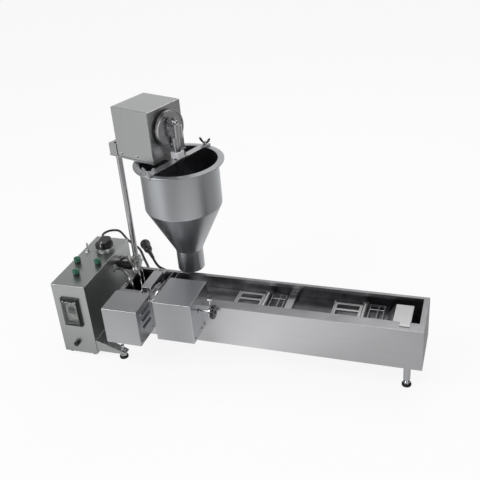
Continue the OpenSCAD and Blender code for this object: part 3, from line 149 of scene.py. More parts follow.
@dataclass(frozen=True)
class Finish:
    """A surface finish: its name, packed slot, sRGB colour and typical roughness, and how it takes light."""

    name: str
    slot: str
    colour: str
    roughness: float
    metallic: float = 0.0
    ior: float = 1.5
    coat: float = 0.0
    coat_roughness: float = 0.03
    clarity: float = 0.0

    def material(self) -> bpy.types.Material:
        """Makes the finish's material on first use.

        Returns:
            The material, the same one each time.
        """
        found = bpy.data.materials.get(self.name)
        if found:
            return found
        made = bpy.data.materials.new(self.name)
        made.use_nodes = True
        tree = made.node_tree
        tree.nodes.clear()
        shader = add_node(tree, "BsdfPrincipled", {
            "Base Color": to_linear(self.colour), "Roughness": self.roughness, "Metallic": self.metallic,
            "IOR": self.ior, "Coat Weight": self.coat, "Coat Roughness": self.coat_roughness,
            "Transmission Weight": self.clarity})
        add_node(tree, "OutputMaterial", {"Surface": shader.outputs[0]})
        self.paint(tree, shader)
        return made

    def paint(self, tree: Tree, shader: Node) -> None:
        """Adds what this finish shows to the eye to the plain shader.

        Args:
            tree: the material's node tree.
            shader: the principled shader.
        """

    def noise(self, tree: Tree, size_mm: Point, yaw: float = 0.0, detail: float = 2.0) -> Socket:
        """Adds a noise pattern in the piece's own frame.

        Args:
            tree: the material's node tree.
            size_mm: the pattern's size along X, Y and Z, in millimetres.
            yaw: the turn of the piece's own axes about Z, in radians.
            detail: how many finer layers the noise has.

        Returns:
            The pattern's value, from 0 to 1.
        """
        place = add_node(tree, "TexCoord")
        turned = add_node(tree, "Mapping", {"Vector": place.outputs["Object"], "Rotation": (0, 0, -yaw)})
        scaled = add_node(tree, "Mapping",
                          {"Vector": turned.outputs[0], "Scale": [1 / (s * MM) for s in size_mm]})
        pattern = add_node(tree, "TexNoise", {"Vector": scaled.outputs[0], "Scale": 1.0, "Detail": detail})
        return pattern.outputs[0]

    def vary(self, tree: Tree, shader: Node, pattern: Socket, tone: float, gloss: float) -> None:
        """Varies colour and roughness with a pattern.

        Args:
            tree: the material's node tree.
            shader: the principled shader.
            pattern: a value from 0 to 1.
            tone: the share by which the colour goes down and up.
            gloss: how far the roughness goes down and up.
        """
        base = to_linear(self.colour)
        low, high = (tuple(min(1, c * k) for c in base[:3]) + (1,) for k in (1 - tone, 1 + tone))
        spread = add_node(tree, "MapRange", {0: pattern, "From Min": NOISE_LOW, "From Max": NOISE_HIGH})
        rough = add_node(tree, "MapRange", {
            0: spread.outputs[0], "To Min": self.roughness - gloss, "To Max": self.roughness + gloss})
        self.tint(tree, shader, spread.outputs[0], low, high)
        tree.links.new(rough.outputs[0], shader.inputs["Roughness"])

    def tint(self, tree: Tree, shader: Node, share: Socket, under: tuple | Socket, over: tuple) -> None:
        """Gives the shader a colour between two.

        Args:
            tree: the material's node tree.
            shader: the principled shader.
            share: how much of the second colour shows, from 0 to 1.
            under: the first colour, or the socket that it comes from.
            over: the second colour.
        """
        colour = add_node(tree, "Mix", {0: share, 6: under, 7: over}, data_type="RGBA")
        tree.links.new(colour.outputs[2], shader.inputs["Base Color"])

    def emboss(self, tree: Tree, shader: Node, height: Socket,
               depth_mm: float, strength: float = 0.5) -> None:
        """Raises a pattern as a bump.

        Args:
            tree: the material's node tree.
            shader: the principled shader.
            height: the pattern, from 0 to 1.
            depth_mm: how deep it goes, in millimetres.
            strength: the share of the bump that is used.
        """
        bump = add_node(tree, "Bump", {"Strength": strength, "Distance": depth_mm * MM, "Height": height})
        tree.links.new(bump.outputs[0], shader.inputs["Normal"])


@dataclass(frozen=True)
class BrushedSteel(Finish):
    """Stainless sheet, brushed with a belt.

    The eye sees soft, long streaks along the grain, reflections that blur across it, and faint clouds
    where hands and cloths have been.
    """

    metallic: float = 1.0
    grain: Grain = Grain.ALONG_X
    cross: Grain = Grain.ALONG_Y
    yaw: float = 0.0
    # A belt of 180 grit leaves lines about 0.1 mm apart. They are drawn 2.2 mm apart, so that they show.
    line_mm: float = 2.2
    length_mm: float = 160.0
    tone: float = 0.045
    gloss: float = 0.035
    depth_mm: float = 0.02
    strength: float = 0.35
    cloud_mm: Point = (70, 70, 70)
    cloud_share: float = 0.35
    # A face is square to the grain where its normal's part along it is more than this.
    square_from: float = 0.75

    def lines(self, tree: Tree, grain: Grain, line_mm: float) -> Socket:
        """Adds the brushed lines in one direction.

        Args:
            tree: the material's node tree.
            grain: the way they run.
            line_mm: the distance between them.

        Returns:
            The lines' value, from 0 to 1.
        """
        size = [line_mm] * 3
        size[grain.value] = self.length_mm
        return self.noise(tree, tuple(size), self.yaw)

    def paint(self, tree: Tree, shader: Node) -> None:
        """Adds lines that turn to the cross direction on faces square to the grain, and faint clouds.

        Args:
            tree: the material's node tree.
            shader: the principled shader.
        """
        place = add_node(tree, "TexCoord")
        turned = add_node(tree, "Mapping", {"Vector": place.outputs["Normal"], "Rotation": (0, 0, -self.yaw)},
                          vector_type="NORMAL")
        split = add_node(tree, "SeparateXYZ", {0: turned.outputs[0]})
        facing = add_node(tree, "Math", {0: split.outputs[self.grain.value]}, operation="ABSOLUTE")
        square = add_node(tree, "Math", {0: facing.outputs[0], 1: self.square_from}, operation="GREATER_THAN")
        lines = add_node(tree, "Mix", {
            0: square.outputs[0], 2: self.lines(tree, self.grain, self.line_mm),
            3: self.lines(tree, self.cross, self.line_mm)})
        clouds = self.noise(tree, self.cloud_mm, detail=3.0)
        both = add_node(tree, "Mix", {0: self.cloud_share, 2: lines.outputs[0], 3: clouds})
        self.vary(tree, shader, both.outputs[0], self.tone, self.gloss)
        self.emboss(tree, shader, lines.outputs[0], self.depth_mm, self.strength)


@dataclass(frozen=True)
class ShadedInsideSteel(BrushedSteel):
    """Brushed stainless with painted shade inside the tank, where its walls and deck shade each other.

    The eye sees a darker grey, in thicker and thinner patches of painted shade.
    """

    # The colour of the painted shade inside the tank.
    shade_colour: str = "#57565A"
    cover: Pair = (0.25, 0.75)
    patch_mm: float = 60.0
    patch_span: Pair = (0.35, 0.7)
    # The middle and the half sides of the space that the painted shade covers, in millimetres.
    shaded_mid: Point = (88.5, -18.68, 143.0)
    shaded_half: Point = (435.1, 80.1, 61.0)
    # The painted shade thins out towards the rim between these heights, in millimetres, to this share of
    # itself.
    edge_mm: Pair = (186.0, 203.0)
    edge_share: float = 0.35

    def paint(self, tree: Tree, shader: Node) -> None:
        """Adds patches of painted shade over the brushed steel, inside the tank alone.

        Args:
            tree: the material's node tree.
            shader: the principled shader.
        """
        super().paint(tree, shader)
        steel = shader.inputs["Base Color"].links[0].from_socket
        patches = add_node(tree, "MapRange", {
            0: self.noise(tree, (self.patch_mm,) * 3, detail=4.0), "From Min": self.patch_span[0],
            "From Max": self.patch_span[1], "To Min": self.cover[0], "To Max": self.cover[1]})
        place = add_node(tree, "TexCoord").outputs["Object"]
        away = add_node(tree, "VectorMath", {
            0: place, 1: [v * MM for v in self.shaded_mid]}, operation="SUBTRACT")
        share = add_node(tree, "VectorMath", {
            0: away.outputs[0], 1: [v * MM for v in self.shaded_half]}, operation="DIVIDE")
        size = add_node(tree, "VectorMath", {0: share.outputs[0]}, operation="ABSOLUTE")
        sides = add_node(tree, "SeparateXYZ", {0: size.outputs[0]}).outputs
        widest = sides[0]
        for side in sides[1:]:
            most = add_node(tree, "Math", {0: widest, 1: side}, operation="MAXIMUM")
            widest = most.outputs[0]
        inside = add_node(tree, "Math", {0: widest, 1: 1.0}, operation="LESS_THAN")
        height = add_node(tree, "SeparateXYZ", {0: place})
        level = add_node(tree, "MapRange", {
            0: height.outputs[2], "From Min": self.edge_mm[0] * MM, "From Max": self.edge_mm[1] * MM,
            "To Min": 1.0, "To Max": self.edge_share})
        amount = patches.outputs[0]
        for part in (inside, level):
            thinned = add_node(tree, "Math", {0: amount, 1: part.outputs[0]}, operation="MULTIPLY")
            amount = thinned.outputs[0]
        # Darkens the steel towards the colour of the painted shade, by the patches' amount.
        self.tint(tree, shader, amount, steel, to_linear(self.shade_colour))


@dataclass(frozen=True)
class TurnedSteel(Finish):
    """Stainless bar or cone, turned and polished on a lathe.

    The eye sees bright bands along the axis, painted faintly into the colour as painted reflection, and fine
    rings round it.
    """

    # A turning tool leaves rings 0.1 to 0.2 mm apart. They are drawn 1.2 mm apart, so that they show.
    ring_mm: float = 1.2
    ring_reach: float = 400
    # The size of the noise for the faint bands along the upright axis: painted reflection in the colour, a
    # real variation in the roughness.
    band_mm: Point = (45, 45, 90)
    metallic: float = 1.0
    tone: float = 0.04
    gloss: float = 0.03
    depth_mm: float = 0.006
    strength: float = 0.05

    def paint(self, tree: Tree, shader: Node) -> None:
        """Adds soft bands along the axis, which stands upright, in the colour as painted reflection and in
        the roughness, and slight rings round it.

        Args:
            tree: the material's node tree.
            shader: the principled shader.
        """
        self.vary(tree, shader, self.noise(tree, self.band_mm, detail=3.0), self.tone, self.gloss)
        rings = self.noise(tree, (self.ring_reach, self.ring_reach, self.ring_mm))
        self.emboss(tree, shader, rings, self.depth_mm, self.strength)


@dataclass(frozen=True)
class SpunSteel(TurnedSteel):
    """Stainless hopper, spun and polished, with painted shade on the inside of the bowl and cone.

    The eye sees soft upright bands outside and an even, darker grey of painted shade inside.
    """

    axis_mm: Pair = (-171.51, 68.73)
    # The colour of the painted shade inside the hopper.
    inner: str = "#929296"
    # A surface is the inside where its normal leans to the axis by more than these cosines.
    lean: Pair = (-0.3, -0.6)

    def paint(self, tree: Tree, shader: Node) -> None:
        """Adds painted shade on the inside, where a surface faces the hopper's axis.

        Args:
            tree: the material's node tree.
            shader: the principled shader.
        """
        super().paint(tree, shader)
        steel = shader.inputs["Base Color"].links[0].from_socket
        place = add_node(tree, "TexCoord").outputs
        away = add_node(tree, "VectorMath", {
            0: place["Object"], 1: (self.axis_mm[0] * MM, self.axis_mm[1] * MM, 0)}, operation="SUBTRACT")
        flat = add_node(tree, "VectorMath", {0: away.outputs[0], 1: (1, 1, 0)}, operation="MULTIPLY")
        way = add_node(tree, "VectorMath", {0: flat.outputs[0]}, operation="NORMALIZE")
        facing = add_node(tree, "VectorMath", {
            0: way.outputs[0], 1: place["Normal"]}, operation="DOT_PRODUCT")
        inside = add_node(tree, "MapRange", {
            0: facing.outputs["Value"], "From Min": self.lean[0], "From Max": self.lean[1]})
        # Darkens the inside towards the colour of the painted shade.
        self.tint(tree, shader, inside.outputs[0], steel, to_linear(self.inner))


@dataclass(frozen=True)
class Speckled(Finish):
    """A finish that one pattern of specks or clouds varies, and raises where it has a depth."""

    speck_mm: float = 3.0
    detail: float = 4.0
    tone: float = 0.08
    gloss: float = 0.06
    depth_mm: float = 0.0
    strength: float = 0.5

    def specks(self, tree: Tree) -> Socket:
        """Adds the pattern of specks and gives its value, from 0 to 1."""
        return self.noise(tree, (self.speck_mm,) * 3, detail=self.detail)

    def paint(self, tree: Tree, shader: Node) -> None:
        """Varies the finish with its specks and raises them.

        Args:
            tree: the material's node tree.
            shader: the principled shader.
        """
        specks = self.specks(tree)
        self.vary(tree, shader, specks, self.tone, self.gloss)
        if self.depth_mm:
            self.emboss(tree, shader, specks, self.depth_mm, self.strength)


@dataclass(frozen=True)
class PlatedSteel(Speckled):
    """Zinc or nickel plate on steel screws, nuts and stems.

    The eye sees a bright, slightly cloudy mirror.
    """

    metallic: float = 1.0


@dataclass(frozen=True)
class TintedTube(Speckled):
    """The heater's stainless tube, drawn and then coloured by its own heat.

    The eye sees straw and dull grey clouds on a satin tube.
    """

    metallic: float = 1.0
    speck_mm: float = 35.0
    detail: float = 3.0
    tone: float = 0.1
    tinted: str = "#A9A6A4"
    tint_span: Pair = (0.4, 0.62)

    def paint(self, tree: Tree, shader: Node) -> None:
        """Mixes the tube's colour with its heat tint in clouds.

        Args:
            tree: the material's node tree.
            shader: the principled shader.
        """
        super().paint(tree, shader)
        spread = add_node(tree, "MapRange", {
            0: self.specks(tree), "From Min": self.tint_span[0], "From Max": self.tint_span[1]})
        self.tint(tree, shader, spread.outputs[0], to_linear(self.colour), to_linear(self.tinted))


@dataclass(frozen=True)
class PaintedCasting(Speckled):
    """Grey enamel sprayed on a sand casting.

    The eye sees a low gloss over the sand's small lumps.
    """

    # Moulding sand has grains of about 0.3 mm. They are drawn 2 mm wide, so that they show.
    speck_mm: float = 2.0
    tone: float = 0.12
    gloss: float = 0.08
    depth_mm: float = 0.15


@dataclass(frozen=True)
class MouldedPlastic(Finish):
    """A moulded plastic, such as phenolic, ABS or nylon.

    The eye sees a skin of even colour with a fine spark-eroded grain, which dulls the gloss in places.
    """

    coat_roughness: float = 0.08
    grain_mm: float = 0.8
    grain_depth: float = 0.02
    cloud_mm: Point = (25, 25, 25)
    cloud_share: float = 0.6
    tone: float = 0.07
    gloss: float = 0.05

    def paint(self, tree: Tree, shader: Node) -> None:
        """Adds the mould's grain and faint flow clouds.

        Args:
            tree: the material's node tree.
            shader: the principled shader.
        """
        grain = self.noise(tree, (self.grain_mm,) * 3)
        clouds = self.noise(tree, self.cloud_mm, detail=3.0)
        both = add_node(tree, "Mix", {0: self.cloud_share, 2: grain, 3: clouds})
        self.vary(tree, shader, both.outputs[0], self.tone, self.gloss)
        self.emboss(tree, shader, grain, self.grain_depth)


@dataclass(frozen=True)
class SoftRubber(Speckled):
    """Moulded or extruded black rubber, matt, with grey dust in its pores."""

    speck_mm: float = 0.9
    tone: float = 0.25
    gloss: float = 0.08
    depth_mm: float = 0.05


@dataclass(frozen=True)
class CordSheath(Speckled):
    """Extruded PVC of a mains lead, with the extruder's faint ripple.

    The eye sees a half gloss that runs along the lead, broken by the cores that it lies on.
    """

    ior: float = 1.53
    coat: float = 0.35
    coat_roughness: float = 0.2
    speck_mm: float = 14.0
    detail: float = 2.0
    tone: float = 0.15
    depth_mm: float = 0.15
    strength: float = 0.3


TANK_STEEL = BrushedSteel("stainless_tank_brushed_along", "tank_steel", "#CACACC", 0.32)
TRAY_STEEL = BrushedSteel("stainless_tray_brushed_across", "tank_steel", "#D0D0D1", 0.32,
                          grain=Grain.ALONG_Y, cross=Grain.ALONG_X)
BOX_STEEL = BrushedSteel("stainless_case_brushed_upright", "cover_steel", "#C3C6C4", 0.34,
                         grain=Grain.ALONG_Z, cross=Grain.ALONG_Y)
COVER_STEEL = BrushedSteel("stainless_cover_brushed_along", "cover_steel", "#C1C2C5", 0.34,
                           grain=Grain.ALONG_X, cross=Grain.ALONG_Y)
HEAD_STEEL = BrushedSteel("stainless_head_brushed_upright", "cover_steel", "#C4C5C5", 0.33,
                          grain=Grain.ALONG_Z, cross=Grain.ALONG_Y, yaw=HEAD_YAW)
BAR_STEEL = BrushedSteel("stainless_bar_ground_along", "bright_steel", "#CBCBCD", 0.24,
                         grain=Grain.ALONG_Y, cross=Grain.ALONG_X, yaw=HEAD_YAW, line_mm=1.2, tone=0.05)
BRIGHT_STEEL = TurnedSteel("stainless_turned_polished", "bright_steel", "#CFCFD1", 0.2)
# The shell carries painted shade in patches inside the tank.
SHELL_STEEL = ShadedInsideSteel("stainless_tank_with_painted_shade_inside", "tank_steel", "#CACACC", 0.32,
                         shade_colour="#4B4A4F", cover=(0.6, 0.95))
# The deck's colour, darker than the tank's, is painted shade, under its own patches of painted shade.
DECK_STEEL = ShadedInsideSteel("stainless_deck_with_painted_shade", "tank_steel", "#A5A5A8", 0.36)
RACK_STEEL = BrushedSteel("stainless_rack_brushed_across", "tank_steel", "#BDBDC1", 0.3,
                          grain=Grain.ALONG_Y, cross=Grain.ALONG_X)
# The hopper's long upright bands are painted reflection in its colour.
HOPPER_STEEL = SpunSteel("stainless_hopper_spun_satin", "hopper_steel", "#C9CCCF", 0.33, ring_mm=2.5,
                         band_mm=(60, 60, 300), tone=0.03, gloss=0.015)
SCREW_PLATE = PlatedSteel("zinc_plate_bright", "zinc_screws", "#D2D3D6", 0.16)
PIN_PLATE = PlatedSteel("nickel_plate_on_brass", "zinc_screws", "#D8D2C4", 0.14)
HEATER_TUBE = TintedTube("heater_tube_heat_tinted", "heater_steel", "#CFCECC", 0.24)
CAST_PAINT = PaintedCasting("grey_enamel_on_casting", "dark_cast", "#4A4D51", 0.5)
CAPILLARY_CAST = PlatedSteel("thermostat_tinned_copper", "dark_cast", "#C9C6C2", 0.26)
PHENOLIC = MouldedPlastic("black_phenolic_moulded", "black_phenolic", "#111214", 0.28, coat=0.3)
BEZEL_BLACK = MouldedPlastic("black_polyamide_moulded", "black_phenolic", "#0B0C0D", 0.4, coat=0.1)
GREEN_CAP = MouldedPlastic("green_polycarbonate_moulded", "green_plastic", "#175843", 0.22, coat=0.4,
                           grain_depth=0.005, ior=1.58)
WHITE_CASE = MouldedPlastic("white_polyamide_moulded", "white_plastic", "#E4E4DE", 0.42)
CLEAR_FLAP = MouldedPlastic("clear_polycarbonate_sheet", "clear_plastic", "#F2F5F5", 0.06, clarity=1.0,
                            grain_depth=0.001, ior=1.585)
NYLON = MouldedPlastic("white_nylon_machined", "nylon_block", "#D9D8DC", 0.4, grain_mm=1.4, ior=1.53)
# A pale mark, also used as a painted highlight on the end of the dial's grip.
MARK_AND_GLINT_PAINT = MouldedPlastic("pale_paint_mark_and_painted_glint", "white_plastic", "#DDDFD8", 0.5, grain_mm=0.5)
PAD_RUBBER = SoftRubber("black_rubber_moulded", "black_rubber", "#18191A", 0.62)
SHEATH = CordSheath("black_pvc_extruded", "cord_sheath", "#0E0F10", 0.3)


def smooth_path(points: list[Vector], steps: int) -> list[Vector]:
    """Runs the source's smooth curve through points.

    Args:
        points: the points, in order.
        steps: how many pieces each span is cut into.

    Returns:
        The points of the curve, the last one included.
    """
    last = len(points) - 1
    path = []
    for i in range(last):
        a, b, c, d = (points[max(i - 1, 0)], points[i], points[i + 1], points[min(i + 2, last)])
        for k in range(steps):
            t = k / steps
            path.append(0.5 * (2 * b + (c - a) * t + (2 * a - 5 * b + 4 * c - d) * t * t
                               + (3 * b - a - 3 * c + d) * t ** 3))
    return path + [points[last]]


def rounded(profile: Profile, radius: float, steps: int = 4) -> Profile:
    """Rounds the inner corners of an open profile.

    Args:
        profile: its points, in order.
        radius: the radius of the rounding, cut down where a side is short.
        steps: the number of chords in each rounding.

    Returns:
        The rounded profile.
    """
    out = [profile[0]]
    for before, at, after in zip(profile, profile[1:], profile[2:]):
        corner, to_a, to_b = Vector(at), Vector(before) - Vector(at), Vector(after) - Vector(at)
        reach = min(radius, to_a.length * 0.45, to_b.length * 0.45)
        start, end = corner + to_a.normalized() * reach, corner + to_b.normalized() * reach
        for k in range(steps + 1):
            t = k / steps
            spot = start * (1 - t) ** 2 + corner * 2 * t * (1 - t) + end * t * t
            out.append((spot.x, spot.y))
    return out + [profile[-1]]


def skin(mesh: Mesh, rings: list, closed: bool = False) -> Mesh:
    """Joins rings of points with faces.

    Args:
        mesh: the mesh that the points are in.
        rings: the rings, in order, each a list of as many points.
        closed: whether the last ring joins the first. Otherwise both ends get a face.

    Returns:
        The same mesh.
    """
    for low, high in list(zip(rings, rings[1:])) + ([(rings[-1], rings[0])] if closed else []):
        for k in range(len(low)):
            n = (k + 1) % len(low)
            mesh.faces.new((low[k], low[n], high[n], high[k]))
    if not closed:
        mesh.faces.new(rings[0][::-1])
        mesh.faces.new(rings[-1])
    bmesh.ops.recalc_face_normals(mesh, faces=mesh.faces)
    return mesh


def lathe(profile: Profile, segments: int = 64, closed: bool = False, flutes: int = 0,
          flute_depth: float = 0.0, flute_zone: Pair = (0.0, 0.0)) -> Mesh:
    """Turns a profile about Z.

    Args:
        profile: points of (radius, height) in millimetres, from one end to the other.
        segments: the number of steps round the axis.
        closed: whether the last point joins the first.
        flutes: how many grips are cut round it, or none.
        flute_depth: how deep they are, in millimetres.
        flute_zone: the heights that they run between, in millimetres.

    Returns:
        The turned mesh, in metres.
    """
    mesh = bmesh.new()
    rings = []
    for radius, height in profile:
        depth = flute_depth if flutes and flute_zone[0] < height < flute_zone[1] else 0.0
        ring = []
        for k in range(segments):
            angle = 2 * math.pi * k / segments
            reach = max(radius - depth * (1 + math.cos(flutes * angle)) / 2, AXIS_GAP)
            spot = Vector((reach * math.cos(angle), reach * math.sin(angle), height))
            ring.append(mesh.verts.new(spot * MM))
        rings.append(ring)
    return skin(mesh, rings, closed)


def block(size: Point, bevel: float) -> Mesh:
    """Makes a block round its own middle with chamfered edges.

    Args:
        size: its sides, in millimetres.
        bevel: the width of its chamfers, in millimetres.

    Returns:
        The block's mesh, in metres.
    """
    mesh = bmesh.new()
    bmesh.ops.create_cube(mesh, size=MM, matrix=Matrix.Diagonal((*size, 1.0)))
    bmesh.ops.bevel(mesh, geom=mesh.edges[:], offset=bevel * MM, segments=1, affect="EDGES", profile=0.5)
    return mesh


def tube(points: list[Vector], radius: float, sides: int = 20) -> Mesh:
    """Sweeps a round tube along points.

    Args:
        points: the centreline.
        radius: the tube's radius.
        sides: the number of sides.

    Returns:
        The tube's mesh, with its ends closed.
    """
    mesh = bmesh.new()
    normal = Vector((0, 0, 1))
    turns = [2 * math.pi * k / sides for k in range(sides)]
    rings = []
    last = len(points) - 1
    for i, spot in enumerate(points):
        ahead = (points[min(i + 1, last)] - points[max(i - 1, 0)]).normalized()
        normal = normal - normal.dot(ahead) * ahead
        if normal.length < 1e-4:
            normal = ahead.orthogonal()
        normal.normalize()
        side = ahead.cross(normal)
        around = [math.cos(a) * normal + math.sin(a) * side for a in turns]
        rings.append([mesh.verts.new(spot + radius * way) for way in around])
    return skin(mesh, rings)


def join(*parts: Mesh) -> Mesh:
    """Puts several meshes into the first one.

    Args:
        parts: the meshes. All but the first are used up.

    Returns:
        The first mesh.
    """
    whole = parts[0]
    for part in parts[1:]:
        spare = bpy.data.meshes.new("spare")
        part.to_mesh(spare)
        part.free()
        whole.from_mesh(spare)
        bpy.data.meshes.remove(spare)
    return whole


def moved(mesh: Mesh, matrix: Matrix) -> Mesh:
    """Moves a mesh by a matrix and gives it back."""
    mesh.transform(matrix)
    return mesh


def axis_along(direction: Point, start: Point) -> Matrix:
    """Gives the matrix that takes a lathe's Z axis to a direction and its origin to a start point."""
    turn = Vector((0, 0, 1)).rotation_difference(Vector(direction))
    return Matrix.Translation(start) @ turn.to_matrix().to_4x4()


def middle(node: str) -> Vector:
    """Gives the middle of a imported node's box."""
    low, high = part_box(node)
    return (low + high) / 2


def shifted(profile: Profile, radius: float, height: float = 0.0) -> list[Pair]:
    """Moves a profile out to a radius and up to a height."""
    return [(radius + out, height + up) for out, up in profile]


@dataclass(frozen=True)
class Ribs:
    """A row of ribs along a turned piece, in millimetres.

    They start at a height, out from the piece's radius, and each one is smaller than the last by the taper.
    """

    count: int
    start: float
    pitch: float
    out: float
    taper: float
    shape: Profile

    def points(self, radius: float, height: float = 0.0) -> list[Pair]:
        """Gives the profile of all the ribs.

        Args:
            radius: the piece's radius.
            height: the height that the row is measured from.

        Returns:
            The profile's points.
        """
        rows = [shifted(self.shape, radius + self.out - i * self.taper, height + self.start + i * self.pitch)
                for i in range(self.count)]
        return [point for row in rows for point in row]


def in_scene(name: str, data: bpy.types.ID) -> bpy.types.Object:
    """Makes an object of its data and puts it into the scene.

    Args:
        name: the object's name.
        data: its mesh, curve, camera or lamp.

    Returns:
        The new object.
    """
    made = bpy.data.objects.new(name, data)
    bpy.context.scene.collection.objects.link(made)
    return made


@dataclass
class Assembly:
    """What every sub-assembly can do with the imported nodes."""

    smooth_angle: float = math.radians(32)

    def keep(self, finish: Finish, *nodes: str) -> None:
        """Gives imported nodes, whose shape is right, their finish.

        Args:
            finish: the finish.
            nodes: the nodes' names.
        """
        for node in nodes:
            for slot in frame["nodes"][node].material_slots:
                slot.material = finish.material()
            log.info("kept %s in %s", node, finish.name)

    def piece(self, name: str, mesh: Mesh, finish: Finish, body: Body | str, *nodes: str) -> bpy.types.Object:
        """Makes an object of a mesh and puts it in its place in the model.

        Args:
            name: the piece's name.
            mesh: its mesh, which is used up.
            finish: its finish.
            body: the body that it rides on.
            nodes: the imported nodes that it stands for.

        Returns:
            The new object.
        """
        data = bpy.data.meshes.new(name)
        mesh.to_mesh(data)
        mesh.free()
        data.shade_smooth()
        data.set_sharp_from_angle(angle=self.smooth_angle)
        data.materials.append(finish.material())
        made = in_scene(name, data)
        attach(made, body.value if isinstance(body, Body) else body)
        if nodes:
            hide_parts(*nodes)
        log.info("made %s in %s", name, finish.name)
        return made

    def soften(self, finish: Finish, *nodes: str, outer_mm: float = 1.6, inner_mm: float = 0.4,
               yaw: float = 0.0) -> None:
        """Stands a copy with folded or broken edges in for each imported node.

        Args:
            finish: the finish.
            nodes: the nodes' names.
            outer_mm: the radius of the edges on the outside of the node's box.
            inner_mm: the radius of the other sharp edges.
            yaw: the turn of the node's own axes about Z.
        """
        for node in nodes:
            source = frame["nodes"][node]
            mesh = bmesh.new()
            mesh.from_mesh(source.data)
            bmesh.ops.remove_doubles(mesh, verts=mesh.verts, dist=WELD)
            bmesh.ops.dissolve_limit(mesh, angle_limit=FLAT_ANGLE, verts=mesh.verts, edges=mesh.edges)
            weights = mesh.edges.layers.float.new("bevel_weight_edge")
            turn = Matrix.Rotation(-yaw, 3, "Z")
            spots = {v: turn @ v.co for v in mesh.verts}
            low = [min(s[i] for s in spots.values()) for i in range(3)]
            high = [max(s[i] for s in spots.values()) for i in range(3)]
            for edge in mesh.edges:
                if len(edge.link_faces) != 2 or edge.calc_face_angle(0.0) < EDGE_ANGLE:
                    continue
                ends = [spots[v] for v in edge.verts]
                on_box = [i for i in range(3) for limit in (low[i], high[i])
                          if all(abs(e[i] - limit) < ON_BOX for e in ends)]
                edge[weights] = 1.0 if len(on_box) > 1 else inner_mm / outer_mm
            made = self.piece(f"{node}_dressed", mesh, finish, source["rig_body"], node)
            sharp = made.data.attributes.get("sharp_edge")
            if sharp:
                sharp.data.foreach_set("value", [False] * len(made.data.edges))
            fold = made.modifiers.new("folded_edges", "BEVEL")
            fold.limit_method = "WEIGHT"
            fold.width = outer_mm * MM
            fold.segments = 2
            fold.use_clamp_overlap = False
            flat = made.modifiers.new("flat_faces", "WEIGHTED_NORMAL")
            flat.mode = "FACE_AREA"
            flat.weight = 100


